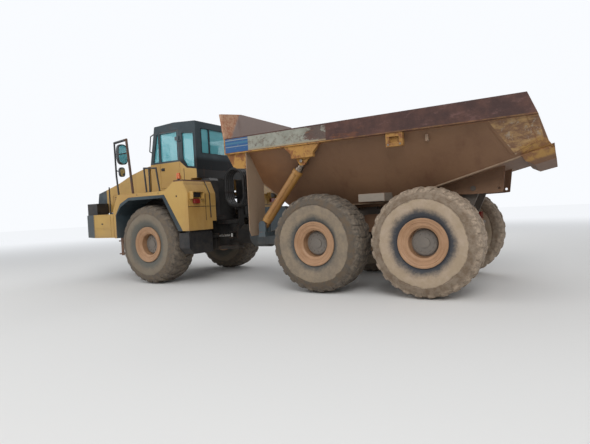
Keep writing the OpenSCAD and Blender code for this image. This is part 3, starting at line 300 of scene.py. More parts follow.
def finishSteel(steel, colour):
    rub = steel.edges(0.025) * steel.step(steel.noise(8, 5, 0.7), 0.4, 0.6) * bedLook["rub"]
    steel.feed(Base_Color=steel.mix(rub, colour, paints["rustLight"]), Roughness=0.55 + steel.noise(20, 4) * 0.25)
    steel.bump(steel.noise(45, 6, 0.7) * 0.5 + steel.noise(2.5, 3) * 1.5, 0.3, 0.006)


bedPaint, bedColour = bedSteel("bedPaint", bedLook["paint"], bedLook["warm"], bedLook["dustTop"])
warmth = bedPaint.step(bedPaint.part("X") + bedPaint.noise(0.9, 5, 0.6) * 2.0 - 1.0, *bedLook["frontFrom"])
frontColour = bedPaint.mix(bedPaint.noise(5, 6, 0.7), *bedLook["front"])
bedColour = bedPaint.mix(warmth * bedLook["frontAmount"], bedColour, frontColour)
outerFace = bedPaint.step(bedPaint.across() - flankY(bedPaint.part("Z")), *bedLook["outer"])
scuffs = bedPaint.step(bedPaint.noise(9, 8, 0.75, (0.6, 1, 1.4)), 0.36, 0.60)
doublerColour = bedPaint.mix(scuffs, *bedLook["doublerPaint"])
bare = bedPaint.step(bedPaint.noise(13, 8, 0.8, (1, 1, 0.5)), 0.54, 0.64) * 0.8
doublerColour = bedPaint.mix(bare, doublerColour, bedLook["doublerBare"])
patches = bedPaint.step(bedPaint.noise(1.6, 4), 0.25, 0.45)
bedColour = bedPaint.mix(outerFace * bedPaint.inside(bedLook["doubler"]) * patches, bedColour, doublerColour)
tailColour = bedPaint.mix(bedPaint.step(bedPaint.noise(7, 6, 0.7), 0.42, 0.6), *bedLook["tailPaint"])
onTail = outerFace * bedPaint.inside(bedLook["tail"], 0.02) * bedLook["tailAmount"]
bedColour = bedPaint.mix(onTail, bedColour, tailColour)
padColour = bedPaint.mix(bedPaint.noise(8, 6, 0.7), *bedLook["padGrey"])
bedColour = bedPaint.mix(outerFace * bedPaint.inside(bedLook["pad"]), bedColour, padColour)
finishSteel(bedPaint, bedColour)

# guard: scoured pinkish grey inside; its folded flanks, which start past a slanted line, are rusty orange and lighter,
# partly real rust and partly a painted highlight of their turn towards the light
guardLook = {"paint": (0.235, 0.180, 0.160), "warm": (0.270, 0.205, 0.178), "dustTop": 0.3, "fold": (0.818, 0.575),
             "foldFrom": (3.045, 3.10), "flank": ((0.44, 0.27, 0.17), (0.32, 0.135, 0.070))}
guardPaint, guardColour = bedSteel("guardPaint", guardLook["paint"], guardLook["warm"], guardLook["dustTop"])
foldY, foldZ = guardLook["fold"]
pastFold = guardPaint.across() * foldY + guardPaint.part("Z") * foldZ + guardPaint.noise(7, 6, 0.7) * 0.16
# the flanks' colour is partly rust and partly painted light
rustAndLitFlankColour = guardPaint.mix(guardPaint.step(guardPaint.noise(11, 7, 0.75), 0.40, 0.60), *guardLook["flank"])
guardColour = guardPaint.mix(guardPaint.step(pastFold, *guardLook["foldFrom"]), guardColour, rustAndLitFlankColour)
finishSteel(guardPaint, guardColour)

mudguardLook = {"paint": (0.255, 0.178, 0.115), "warm": (0.290, 0.210, 0.145), "dustTop": 0.4}
mudguardPaint, mudguardColour = bedSteel("mudguardPaint", mudguardLook["paint"], mudguardLook["warm"],
                                          mudguardLook["dustTop"])
finishSteel(mudguardPaint, mudguardColour)

# rail: rust, with blue stripes and a worn pale field near the front, yellow edges and bracket box
railLook = {
    "rust": ((0.058, 0.033, 0.030), (0.118, 0.058, 0.045)), "scoured": (0.150, 0.080, 0.070),
    "orange": (0.20, 0.075, 0.032), "orangeFrom": (-3.6, -1.4), "field": (2.757, 3.028), "front": 0.270,
    "stripeFrom": -0.29, "stripe": ((0.036, 0.100, 0.235), (0.060, 0.165, 0.26)), "stripeMiddle": (2.915, 2.955),
    "stripeWorn": (0.21, 0.20, 0.17), "lines": [(2.860, 2.874), (2.988, 3.006)], "line": (0.27, 0.31, 0.31),
    "paleTo": -1.98, "pale": ((0.31, 0.31, 0.26), (0.235, 0.235, 0.195)), "flakes": (0.16, 0.125, 0.095),
    "cream": (0.36, 0.265, 0.145), "creamTo": (2.768, 2.79), "edge": ((0.42, 0.225, 0.062), (0.22, 0.09, 0.035)),
    "edgeTo": (2.745, 2.753), "box": (-3.345, -3.055), "boxTop": (2.728, 2.732),
}
railPaint = Finish("railPaint", Roughness=0.6, Specular_IOR_Level=0.2)
railX, railZ = railPaint.part("X"), railPaint.part("Z")
railColour = railPaint.mix(railPaint.step(railPaint.noise(2.2, 7, 0.7), 0.35, 0.7), *railLook["rust"])
scoured = railPaint.step(railPaint.noise(11, 7, 0.75, (0.4, 1, 1)), 0.52, 0.68) * 0.7
railColour = railPaint.mix(scoured, railColour, railLook["scoured"])
orange = railPaint.step(railPaint.noise(5, 7, 0.7, (0.35, 1, 1), shift=(4, 0, 3)), 0.56, 0.66)
orange = orange * railPaint.step(railX, *railLook["orangeFrom"]) * 0.7
railColour = railPaint.mix(orange, railColour, railLook["orange"])

# rail's pale field, flaked down to the rust
paleColour = railPaint.mix(railPaint.step(railPaint.noise(2.5, 5, 0.6), 0.35, 0.65), *railLook["pale"])
flakes = railPaint.step(railPaint.noise(9, 8, 0.78), 0.50, 0.62) * 0.75
paleColour = railPaint.mix(flakes, paleColour, railLook["flakes"])
bared = railPaint.noise(4, 8, 0.78, (0.5, 1, 1)) - railPaint.step(railX, -1.98, -1.2) * 0.15
paleColour = railPaint.mix(railPaint.step(bared, 0.42, 0.48) * 0.85, paleColour, railColour)
creamEdge = 1 - railPaint.step(railZ, *railLook["creamTo"])
paleColour = railPaint.mix(creamEdge * 0.7, paleColour, railLook["cream"])
markHigh = railPaint.band(railZ, *railLook["field"], 0.004)
onPale = markHigh * railPaint.band(railX, railLook["paleTo"], railLook["stripeFrom"], 0.01)
railColour = railPaint.mix(onPale, railColour, paleColour)

# rail's stripes: a lighter band in the middle and two thin lines
lighter = railPaint.band(railZ, *railLook["stripeMiddle"], 0.012)
stripeColour = railPaint.mix(lighter, *railLook["stripe"])
stripeWear = railPaint.noise(14, 7, 0.75, (0.5, 1, 1.6)) + railPaint.step(railZ, 2.93, 3.03) * 0.07
stripeColour = railPaint.mix(railPaint.step(stripeWear, 0.57, 0.68), stripeColour, railLook["stripeWorn"])
for low, high in railLook["lines"]:
    stripeColour = railPaint.mix(railPaint.band(railZ, low, high, 0.004) * 0.85, stripeColour, railLook["line"])
onStripe = markHigh * railPaint.band(railX, railLook["stripeFrom"], railLook["front"], 0.004)
railColour = railPaint.mix(onStripe, railColour, stripeColour)

# rail's yellow: its lower edge, the bracket box and its front end
edgeYellow = railPaint.mix(railPaint.step(railPaint.noise(8, 6, 0.7), 0.45, 0.62), *railLook["edge"])
lowEdge = (1 - railPaint.step(railZ, *railLook["edgeTo"])) * (railPaint.step(railX, -2.6, -1.2) * 0.75 + 0.25)
onBox = railPaint.band(railX, *railLook["box"], 0.004) * (1 - railPaint.step(railZ, *railLook["boxTop"])) * 0.8
railColour = railPaint.mix(railPaint.most(lowEdge, onBox), railColour, edgeYellow)
frontEnd = railPaint.step(railX, railLook["front"], railLook["front"] + 0.003)
railColour = railPaint.mix(frontEnd, railColour, edgeYellow)
railPaint.feed(Base_Color=railColour, Roughness=0.5 + railPaint.noise(25, 4) * 0.3)
railPaint.bump(railPaint.noise(30, 6, 0.7), 0.35, 0.006)


def plainFinish(name, colour, gloss, dusty, **fixed):  # one colour under some dust
    finish = Finish(name, Roughness=gloss, **fixed)
    amount = finish.step(finish.noise(6, 6, 0.7), 0.3, 0.75) * dusty
    finish.feed(Base_Color=finish.mix(amount, colour, paints["dust"]), Roughness=gloss + amount * 0.4)
    finish.bump(finish.noise(80, 4), 0.15, 0.003)
    return finish


# small parts: colour, roughness, dust
blackPlastic = plainFinish("blackPlastic", paints["black"], 0.45, 0.12, Specular_IOR_Level=0.35)
hoseRubber = plainFinish("hoseRubber", (0.022, 0.023, 0.025), 0.5, 0.10, Specular_IOR_Level=0.35)
seatCloth = plainFinish("seatCloth", (0.03, 0.032, 0.036), 0.8, 0.1)
rodChrome = plainFinish("rodChrome", (0.45, 0.44, 0.42), 0.22, 0.25, Metallic=1.0)
hoistSteel = plainFinish("hoistSteel", (0.20, 0.165, 0.135), 0.3, 0.5, Metallic=0.9)
redLamp = plainFinish("redLamp", (0.22, 0.012, 0.010), 0.2, 0.15)
amberLamp = plainFinish("amberLamp", (0.60, 0.115, 0.012), 0.25, 0.15)
stepSteel = plainFinish("stepSteel", paints["rust"], 0.7, 0.6)
rustySteel = plainFinish("rustySteel", (0.085, 0.036, 0.022), 0.75, 0.25)
fittingSteel = plainFinish("fittingSteel", (0.20, 0.19, 0.17), 0.4, 0.5, Metallic=0.8)
lampGlass = plainFinish("lampGlass", (0.62, 0.66, 0.68), 0.08, 0.2, Metallic=0.6)
windowRubber = plainFinish("windowRubber", paints["black"], 0.6, 0.12)

# mirrors: dusty glass, and stands of black tube of which the rear one is rusted through
mirrorLook = {"glass": (0.50, 0.56, 0.56), "dust": (0.30, 0.26, 0.20), "rearTo": (3.44, 3.46),
              "rusted": (0.105, 0.052, 0.032)}
mirrorGlass = Finish("mirrorGlass", Metallic=1.0)
mirrorDust = mirrorGlass.step(mirrorGlass.noise(5, 6, 0.7), 0.45, 0.8) * 0.3
mirrorGlass.feed(Base_Color=mirrorGlass.mix(mirrorDust, mirrorLook["glass"], mirrorLook["dust"]),
                 Roughness=0.04 + mirrorDust)
tubePaint = Finish("tubePaint", Roughness=0.5)
rusted = 1 - tubePaint.step(tubePaint.part("X"), *mirrorLook["rearTo"])
rusted = rusted * tubePaint.step(tubePaint.noise(9, 6, 0.7, (1, 1, 0.3)), 0.3, 0.5)
tubePaint.feed(Base_Color=tubePaint.mix(rusted * 0.9, paints["black"], mirrorLook["rusted"]),
               Roughness=0.45 + rusted * 0.35)
tubePaint.bump(tubePaint.noise(60, 5, 0.7), 0.2, 0.003)

# window glass: tinted and half clear; its strong cyan also paints in the sky light seen in the windows
glass = Finish("cabGlass", Base_Color=(0.20, 0.66, 0.74, 1), Roughness=0.04, Alpha=0.44)
glass.feed(Roughness=0.03 + glass.step(glass.noise(4, 5, 0.7), 0.5, 0.9) * 0.25)

for finish, names in (
        (bedPaint, ("bed_floor", "bed_sides", "bed_front", "bed_underframe", "bogie_beams")),
        (guardPaint, ("spill_guard",)), (mudguardPaint, ("mudguards",)), (railPaint, ("bed_rails",)),
        (yellowPaint, ("cab_tub", "hood", "fenders", "bumper_sides")), (hoistPaint, ("hoist_barrels",)),
        (slatePaint, ("cab_upper", "bumper_nose", "arch_lips")), (doorPaint, ("door",)),
        (framePaint, ("rear_frame", "frame_head", "bogie_axles")),
        (grimeAndShadePaint, ("hitch_block", "front_frame", "front_axle", "steer_barrel_left", "steer_barrel_right")),
        (tubePaint, ("mirrors",)), (hoseRubber, ("hose_loops",)), (seatCloth, ("seat", "steering_wheel")),
        (blackPlastic, ("lamps", "rear_tanks", "side_boxes", "grille", "engine", "drive_shafts", "handrails")),
        (rodChrome, ("steer_rod_left", "steer_rod_right")), (redLamp, ("tail_lamps",)), (stepSteel, ("steps",)),
        (hoistSteel, ("hoist_stage_a", "hoist_stage_b", "hoist_rods")), (glass, ("cab_glass", "door_glass"))):
    dress(finish, *names)
print("nodes dressed")


def addPiece(name, mesh, body, finish, node=None):  # turns a bmesh into a piece that rides on a body
    data = bpy.data.meshes.new(name)
    bmesh.ops.recalc_face_normals(mesh, faces=mesh.faces[:])
    mesh.to_mesh(data)
    mesh.free()
    piece = bpy.data.objects.new(name, data)
    bpy.context.scene.collection.objects.link(piece)
    data.materials.append(finish.material)
    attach(piece, body)
    if node:
        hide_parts(node)


def edgesOf(spots):  # each edge once, in the same order every run
    return list(dict.fromkeys(edge for spot in spots for edge in spot.link_edges))


def block(mesh, low, high, soft=0.0):
    spots = bmesh.ops.create_cube(mesh, size=1)["verts"]
    low, high = Vector(low), Vector(high)
    bmesh.ops.scale(mesh, verts=spots, vec=high - low)
    bmesh.ops.translate(mesh, verts=spots, vec=(high + low) / 2)
    if soft:
        bmesh.ops.bevel(mesh, geom=edgesOf(spots), offset=soft, affect="EDGES", segments=2, profile=0.5, material=-1)


def rod(mesh, start, end, radius, sides=14, tip=None):
    start, end = Vector(start), Vector(end)
    turn = (end - start).to_track_quat("Z", "Y").to_matrix().to_4x4()
    bmesh.ops.create_cone(mesh, cap_ends=True, segments=sides, radius1=radius, radius2=radius if tip is None else tip,
                          depth=(end - start).length, matrix=Matrix.Translation((start + end) / 2) @ turn)


def hoop(mesh, centre, far, thick, turns=64):  # a ring round an axis along Y
    spots = bmesh.ops.create_circle(mesh, segments=8, radius=thick, matrix=Matrix.Translation(
        Vector(centre) + Vector((0, 0, far))) @ Matrix.Rotation(math.pi / 2, 4, "Y"))["verts"]
    bmesh.ops.spin(mesh, geom=spots + edgesOf(spots), cent=centre, axis=(0, 1, 0), dvec=(0, 0, 0), angle=math.tau,
                   steps=turns, use_merge=True)


def border(mesh, outline, wide, push):  # a strip inside an outline, pushed out to its thickness
    face = mesh.faces.new([mesh.verts.new(spot) for spot in outline])
    strip = bmesh.ops.inset_region(mesh, faces=[face], thickness=wide, use_boundary=True, use_even_offset=True)["faces"]
    bmesh.ops.delete(mesh, geom=[face], context="FACES_ONLY")
    grown = bmesh.ops.extrude_face_region(mesh, geom=strip)["geom"]
    bmesh.ops.translate(mesh, verts=[part for part in grown if isinstance(part, bmesh.types.BMVert)], vec=push)


def repeatRound(mesh, count):  # copies all of a mesh round the Y axis, count in all
    bmesh.ops.spin(mesh, geom=mesh.verts[:] + mesh.edges[:] + mesh.faces[:], cent=(0, 0, 0), axis=(0, 1, 0),
                   dvec=(0, 0, 0), angle=math.tau * (count - 1) / count, steps=count - 1, use_duplicate=True)


def pourInto(mesh, extra):  # adds one bmesh to another and frees it
    data = bpy.data.meshes.new("extra")
    extra.to_mesh(data)
    extra.free()
    mesh.from_mesh(data)
    bpy.data.meshes.remove(data)


def bothSides(mesh):
    bmesh.ops.mirror(mesh, geom=mesh.verts[:] + mesh.edges[:] + mesh.faces[:], axis="Y", merge_dist=-1)


# tyres: a spun carcass under two rows of lugs that are bent over its shoulders; radius first, then width
wheels = {"front": 2.740, "mid": -1.610, "rear": -3.580}
wheelHigh, wheelOut = 0.92, 1.345
tyreLook = {
    "carcass": [(0.332, 0.300), (0.418, 0.303), (0.436, 0.318), (0.480, 0.338), (0.560, 0.359), (0.655, 0.368),
                (0.715, 0.366), (0.724, 0.372), (0.738, 0.366), (0.795, 0.346), (0.838, 0.316), (0.862, 0.275)],
    "crown": [(0.919, 0.012), (0.918, 0.10), (0.911, 0.19), (0.894, 0.262), (0.862, 0.312), (0.815, 0.344),
              (0.762, 0.362)],
    "lugs": 26, "halfWidth": (0.034, 0.058), "sweep": 0.085, "depth": 0.045, "chamfer": 0.14, "cuts": 5,
    "turns": 104, "filled": {"front": 0.886, "mid": 0.897, "rear": 0.897}, "middle": 0.19, "rise": 0.004,
    "wornFrom": 0.6, "worn": 0.004,
}


def crownSpot(along, across, high):  # along runs 0 to 1 from the tyre's middle over the shoulder
    crown = tyreLook["crown"]
    place = min(along, 0.9999) * (len(crown) - 1)
    index = int(place)
    first, second = Vector(crown[index]), Vector(crown[index + 1])
    top = first.lerp(second, place - index)
    out = Vector((second.y - first.y, first.x - second.x)).normalized()
    spot = top - out * tyreLook["depth"] * (1 - high)
    narrow, wide = tyreLook["halfWidth"]
    shift = across * 2 * (narrow + (wide - narrow) * math.sin(math.pi * along)) * (1.25 - 0.25 * high)
    angle = (shift + tyreLook["sweep"] * along) / top.x
    return Vector((spot.x * math.sin(angle), spot.y, spot.x * math.cos(angle)))


def makeTyre(filled, dice):
    tyre = bmesh.new()
    flank, reach = tyreLook["carcass"], tyreLook["middle"]
    middle = [(filled, reach), (filled + tyreLook["rise"], 0.0), (filled, -reach)]
    ring = flank + middle + [(far, -wide) for far, wide in reversed(flank)]
    spots = [tyre.verts.new((0, wide, far)) for far, wide in ring]
    for first, second in zip(spots, spots[1:] + spots[:1]):
        tyre.edges.new((first, second))
    bmesh.ops.spin(tyre, geom=tyre.verts[:] + tyre.edges[:], cent=(0, 0, 0), axis=(0, 1, 0), dvec=(0, 0, 0),
                   angle=math.tau, steps=tyreLook["turns"], use_merge=True)
    bmesh.ops.remove_doubles(tyre, verts=tyre.verts[:], dist=0.0005)
    bmesh.ops.recalc_face_normals(tyre, faces=tyre.faces[:])
    for side in (1, -1):
        lug = bmesh.new()
        bmesh.ops.create_cube(lug, size=1)
        sharp = [edge for edge in lug.edges if all(spot.co.z > 0.4 for spot in edge.verts)]
        bmesh.ops.bevel(lug, geom=sharp, offset=tyreLook["chamfer"], affect="EDGES", segments=1, profile=0.5,
                        material=-1)
        lengthwise = [edge for edge in lug.edges if abs(edge.verts[0].co.x - edge.verts[1].co.x) > 0.6]
        bmesh.ops.subdivide_edges(lug, edges=lengthwise, cuts=tyreLook["cuts"], use_grid_fill=True)
        for spot in lug.verts:
            spot.co = crownSpot(spot.co.x + 0.5, spot.co.y, spot.co.z + 0.5)
            spot.co.y *= side
        if side < 0:  # the rows stand half a lug apart
            halfLug = Matrix.Rotation(math.pi / tyreLook["lugs"], 3, "Y")
            bmesh.ops.rotate(lug, verts=lug.verts[:], cent=(0, 0, 0), matrix=halfLug)
        bmesh.ops.recalc_face_normals(lug, faces=lug.faces[:])
        repeatRound(lug, tyreLook["lugs"])
        pourInto(tyre, lug)
    for spot in tyre.verts:  # worn and caked unevenly
        if math.hypot(spot.co.x, spot.co.z) > tyreLook["wornFrom"]:
            spot.co *= 1 - dice.uniform(0, tyreLook["worn"])
    return tyre


mudTones = {  # from the rim outward
    "front": {"ring": (0.110, 0.106, 0.090), "ringTo": 0.60, "disc": (0.205, 0.170, 0.125),
              "shoulder": (0.150, 0.112, 0.075), "tread": (0.105, 0.088, 0.072), "cake": (0.185, 0.145, 0.105)},
    "mid": {"ring": (0.068, 0.070, 0.068), "ringTo": 0.53, "disc": (0.275, 0.215, 0.148),
            "shoulder": (0.125, 0.088, 0.056), "tread": (0.095, 0.080, 0.064), "cake": (0.195, 0.155, 0.115)},
    "rear": {"ring": (0.042, 0.045, 0.052), "ringTo": 0.57, "disc": (0.355, 0.270, 0.182),
             "shoulder": (0.160, 0.110, 0.070), "tread": (0.245, 0.190, 0.138), "cake": (0.420, 0.325, 0.240)},
}


def mudRubber(axleName, tones):
    rubber = Finish(axleName + "Tyre", Roughness=0.85)
    radius = rubber.fromAxle(wheels[axleName], wheelHigh)
    wobble = rubber.noise(3.2, 5, 0.65) * 0.20 - 0.10
    ragged = rubber.noise(24, 6, 0.75) * 0.10 - 0.05
    disc = rubber.mix(rubber.step(rubber.noise(5, 6, 0.7), 0.35, 0.7), tones["disc"], tones["cake"])
    fresh = rubber.step(radius + wobble + ragged, tones["ringTo"] - 0.12, tones["ringTo"] + 0.02)
    colour = rubber.mix(fresh, tones["ring"], disc)
    caked = 1 - rubber.step(radius + wobble * 0.55 + ragged * 0.35, 0.690, 0.712)
    brown = rubber.mix(rubber.step(rubber.noise(9, 6, 0.7), 0.35, 0.65), tones["shoulder"], tones["tread"])
    colour = rubber.mix(caked, brown, colour)
    treadColour = rubber.mix(rubber.step(rubber.noise(14, 7, 0.75), 0.42, 0.60), tones["tread"], tones["cake"])
    colour = rubber.mix(rubber.step(radius + wobble * 0.3, 0.79, 0.85), colour, treadColour)
    rubber.feed(Base_Color=colour)
    rubber.bump(rubber.noise(22, 7, 0.7) + caked * 0.8, 0.7, 0.015)
    return rubber


rimLook = {"paint": ((0.400, 0.232, 0.128), (0.330, 0.182, 0.092)), "hub": ((0.125, 0.115, 0.105), (0.20, 0.165, 0.13)),
           "hubTo": (0.212, 0.25)}


def wornRim(axleName):
    rim = Finish(axleName + "Rim", Roughness=0.55)
    coat = rim.mix(rim.step(rim.noise(4, 6, 0.7), 0.35, 0.7), *rimLook["paint"])
    coat = rim.mix(rim.step(rim.noise(18, 6, 0.75), 0.62, 0.7) * 0.6, coat, paints["rustLight"])
    dusty = rim.mix(rim.noise(12, 6, 0.7), *rimLook["hub"])
    coat = rim.mix(1 - rim.step(rim.fromAxle(wheels[axleName], wheelHigh), *rimLook["hubTo"]), coat, dusty)
    rim.feed(Base_Color=coat)
    rim.bump(rim.noise(30, 6, 0.7), 0.3, 0.006)
    return rim


# rings on the rim, each with its radius, its place outward and its thickness, and a cap ringed by bolts
hubLook = {
    "rings": [(0.3500, 0.3145, 0.0085), (0.3920, 0.3290, 0.0060), (0.2900, 0.2970, 0.0060), (0.1860, 0.1700, 0.0070)],
    "face": 0.170, "sunk": 0.002, "cap": 0.085, "capOut": 0.014, "bolts": 12, "boltFar": 0.150, "bolt": 0.013,
    "boltOut": 0.013,
}


def makeHub():
    hub = bmesh.new()
    for far, deep, thick in hubLook["rings"]:
        hoop(hub, (0, deep, 0), far, thick)
    low, face = hubLook["face"] - hubLook["sunk"], hubLook["face"]
    rod(hub, (0, low, 0), (0, face + hubLook["capOut"], 0), hubLook["cap"], 32)
    bolts = bmesh.new()
    rod(bolts, (0, low, hubLook["boltFar"]), (0, face + hubLook["boltOut"], hubLook["boltFar"]), hubLook["bolt"], 6)
    repeatRound(bolts, hubLook["bolts"])
    pourInto(hub, bolts)
    return hub


for axleName, axleX in wheels.items():
    rubber, rimPaint = mudRubber(axleName, mudTones[axleName]), wornRim(axleName)
    for side, out in (("left", wheelOut), ("right", -wheelOut)):
        corner = "%s_%s" % (axleName, side)
        dress(rimPaint, "rim_" + corner)
        tyre = makeTyre(tyreLook["filled"][axleName], random.Random(corner))
        turned = Matrix.Rotation(len(corner), 3, "Y")  # so that the wheels don't stand alike
        bmesh.ops.rotate(tyre, verts=tyre.verts[:], cent=(0, 0, 0), matrix=turned)
        bmesh.ops.translate(tyre, verts=tyre.verts[:], vec=(axleX, out, wheelHigh))
        addPiece("tyre_tread_" + corner, tyre, "wheel_" + corner, rubber, "tyre_" + corner)
        hub = makeHub()
        if side == "right":
            bmesh.ops.scale(hub, verts=hub.verts[:], vec=(1, -1, 1))
        bmesh.ops.translate(hub, verts=hub.verts[:], vec=(axleX, out, wheelHigh))
        addPiece("hub_rings_" + corner, hub, "wheel_" + corner, rimPaint)
print("wheels made")

# cab: rubbers round the windows and the wiper; side outlines are in X and Z
cabTrim = {
    "side": 0.9195, "rubber": 0.020, "proud": 0.007, "rear": 1.7905, "paneZ": (3.02, 3.60),
    "sides": [[(1.862, 2.690), (2.095, 2.720), (2.215, 2.900), (2.215, 3.520), (1.862, 3.480)],
              [(3.012, 2.890), (3.212, 2.890), (3.057, 3.570), (3.012, 3.570)]],
    "door": [(2.385, 2.890), (2.955, 2.890), (2.955, 3.570), (2.385, 3.570)],
    "panes": [(-0.72, -0.46), (-0.43, 0.43), (0.46, 0.72)],
    "screen": [(3.3165, -0.80, 2.89), (3.3165, 0.80, 2.89), (3.1615, 0.80, 3.62), (3.1615, -0.80, 3.62)],
    "wiper": [((3.318, 0.10, 2.870), (3.372, 0.10, 2.880), 0.020, 14),
              ((3.364, 0.10, 2.880), (3.300, 0.42, 3.240), 0.007, 8),
              ((3.337, 0.30, 2.98), (3.243, 0.52, 3.47), 0.008, 6)],
}


def sideRubber(mesh, outline, side):  # side is 1 on the left and -1 on the right
    spots = [(x, side * cabTrim["side"], z) for x, z in outline]
    border(mesh, spots, cabTrim["rubber"], (0, side * cabTrim["proud"], 0))


cabMesh = bmesh.new()
for outline in cabTrim["sides"]:
    sideRubber(cabMesh, outline, 1)
bothSides(cabMesh)
sideRubber(cabMesh, cabTrim["door"], -1)
rear, (paneLow, paneHigh) = cabTrim["rear"], cabTrim["paneZ"]
for low, high in cabTrim["panes"]:
    pane = [(rear, low, paneLow), (rear, high, paneLow), (rear, high, paneHigh), (rear, low, paneHigh)]
    border(cabMesh, pane, cabTrim["rubber"], (-cabTrim["proud"], 0, 0))
border(cabMesh, cabTrim["screen"], cabTrim["rubber"], (cabTrim["proud"], 0, 0.002))
for row in cabTrim["wiper"]:
    rod(cabMesh, *row)
addPiece("window_rubbers", cabMesh, "front_unit", windowRubber)

# door: window rubber, and a handle on its plate
doorTrim = {"plate": [(2.84, 0.918, 2.665), (2.95, 0.926, 2.735), 0.002],
            "stem": [(2.86, 0.925, 2.70), (2.86, 0.948, 2.70), 0.010, 10],
            "handle": [(2.85, 0.943, 2.688), (2.945, 0.955, 2.712), 0.004]}
doorMesh = bmesh.new()
sideRubber(doorMesh, cabTrim["door"], 1)
block(doorMesh, *doorTrim["plate"])
rod(doorMesh, *doorTrim["stem"])
block(doorMesh, *doorTrim["handle"])
addPiece("door_fittings", doorMesh, "door", windowRubber)

# mirrors: squarish oval glass in both heads on each stand
mirrorFaces = {"thick": 0.010, "taper": 0.97, "squarish": 0.32, "y": 1.55,
               "heads": [{"x": 3.5605, "z": 3.095, "wide": 0.128, "high": 0.226},
                         {"x": 3.6105, "z": 2.675, "wide": 0.066, "high": 0.100}]}
mirrorMesh = bmesh.new()
for head in mirrorFaces["heads"]:
    spots = bmesh.ops.create_cone(mirrorMesh, cap_ends=True, segments=40, radius1=1, radius2=mirrorFaces["taper"],
                                  depth=mirrorFaces["thick"])["verts"]
    for spot in spots:
        toSquare = math.hypot(spot.co.x, spot.co.y) / max(abs(spot.co.x), abs(spot.co.y))
        grow = 1 + (toSquare - 1) * mirrorFaces["squarish"]
        spot.co.x *= grow
        spot.co.y *= grow
    bmesh.ops.scale(mirrorMesh, verts=spots, vec=(head["high"], head["wide"], 1))
    bmesh.ops.rotate(mirrorMesh, verts=spots, cent=(0, 0, 0), matrix=Matrix.Rotation(-math.pi / 2, 3, "Y"))
    bmesh.ops.translate(mirrorMesh, verts=spots, vec=(head["x"], mirrorFaces["y"], head["z"]))
bothSides(mirrorMesh)
addPiece("mirror_glass", mirrorMesh, "front_unit", mirrorGlass)

# lamps: round headlamp glasses, hooded red markers on the fenders' rear faces, amber lamps on top
headlamps = {"x": (5.349, 5.362), "z": 1.815, "y": (1.075, 1.240), "radius": 0.066, "tip": 0.0594}
lensMesh = bmesh.new()
for y in headlamps["y"]:
    (back, front), z = headlamps["x"], headlamps["z"]
    rod(lensMesh, (back, y, z), (front, y, z), headlamps["radius"], 32, headlamps["tip"])
bothSides(lensMesh)
addPiece("headlamp_glass", lensMesh, "front_unit", lampGlass)
markers = {"front": 1.371, "y": (1.33, 1.67), "top": 2.062, "roof": (1.250, 0.016), "cheek": (1.252, 1.900, 0.008),
           "back": (1.357, 1.740, 1.955), "soft": 0.003, "glass": [(1.296, 1.41, 1.800), (1.358, 1.59, 1.905), 0.012]}
hoodMesh = bmesh.new()
(nearY, farY), front, top = markers["y"], markers["front"], markers["top"]
roofX, roofThick = markers["roof"]
block(hoodMesh, (roofX, nearY, top - roofThick), (front, farY, top), markers["soft"])
cheekX, cheekLow, cheekHalf = markers["cheek"]
for y in (nearY, farY):
    block(hoodMesh, (cheekX, y - cheekHalf, cheekLow), (front, y + cheekHalf, top), markers["soft"])
backX, backLow, backTop = markers["back"]
block(hoodMesh, (backX, nearY, backLow), (front, farY, backTop), markers["soft"])
bothSides(hoodMesh)
addPiece("marker_hoods", hoodMesh, "front_unit", yellowPaint)
redMesh = bmesh.new()
block(redMesh, *markers["glass"])
bothSides(redMesh)
addPiece("marker_glass", redMesh, "front_unit", redLamp)
amberLamps = {"low": (1.72, 1.60, 2.365), "high": (1.72, 1.60, 2.490), "radius": 0.052, "tip": 0.040}
amberMesh = bmesh.new()
rod(amberMesh, amberLamps["low"], amberLamps["high"], amberLamps["radius"], 20, amberLamps["tip"])
bothSides(amberMesh)
addPiece("amber_lamps", amberMesh, "front_unit", amberLamp)

# fenders: rusty tread plates on top
treadPlate = {"x": (1.500, 1.785), "y": (0.84, 1.705), "z": (2.299, 2.330), "soft": 0.004, "studs": (4, 11),
              "studAt": (0.04, 0.05), "studStep": (0.068, 0.0765), "stud": (0.014, 0.009), "studHigh": 0.006}
plateMesh = bmesh.new()
(rearX, frontX), (nearY, farY), (lowZ, topZ) = treadPlate["x"], treadPlate["y"], treadPlate["z"]
block(plateMesh, (rearX, nearY, lowZ), (frontX, farY, topZ), treadPlate["soft"])
rows, columns = treadPlate["studs"]
studRadius, studTip = treadPlate["stud"]
for row in range(rows):
    for column in range(columns):
        x = rearX + treadPlate["studAt"][0] + row * treadPlate["studStep"][0]
        y = nearY + treadPlate["studAt"][1] + column * treadPlate["studStep"][1]
        rod(plateMesh, (x, y, topZ - 0.001), (x, y, topZ + treadPlate["studHigh"]), studRadius, 6, studTip)
bothSides(plateMesh)
addPiece("tread_plates", plateMesh, "front_unit", rustySteel)

# fenders: seams, cables, catches, a thin upright rod, and feet of the stands and handrails
fenderTrim = {
    "seams": [((1.364, 0.83, 1.7305), (1.371, 1.715, 1.7415)), ((1.364, 1.160, 1.42), (1.371, 1.168, 2.02))],
    "rods": [((1.360, 1.030, 2.035), (1.360, 1.010, 1.480), 0.011),
             ((1.360, 1.030, 2.030), (1.483, 1.040, 2.306), 0.011),
             ((1.697, 1.715, 1.980), (1.697, 1.729, 1.980), 0.017),
             ((1.720, 1.600, 2.329), (1.720, 1.600, 2.367), 0.030),
             ((1.690, 1.450, 2.329), (1.690, 1.450, 2.600), 0.006),
             ((2.950, 1.715, 2.080), (2.950, 1.726, 2.080), 0.012),
             ((2.250, 1.715, 2.080), (2.250, 1.726, 2.080), 0.012)],
    "feet": [(3.260, 1.560), (2.668, 1.670), (2.560, 1.670), (2.238, 1.670)], "footZ": (2.119, 2.128), "foot": 0.048,
}
seamMesh = bmesh.new()
for low, high in fenderTrim["seams"]:
    block(seamMesh, low, high)
for start, end, radius in fenderTrim["rods"]:
    rod(seamMesh, start, end, radius, 10)
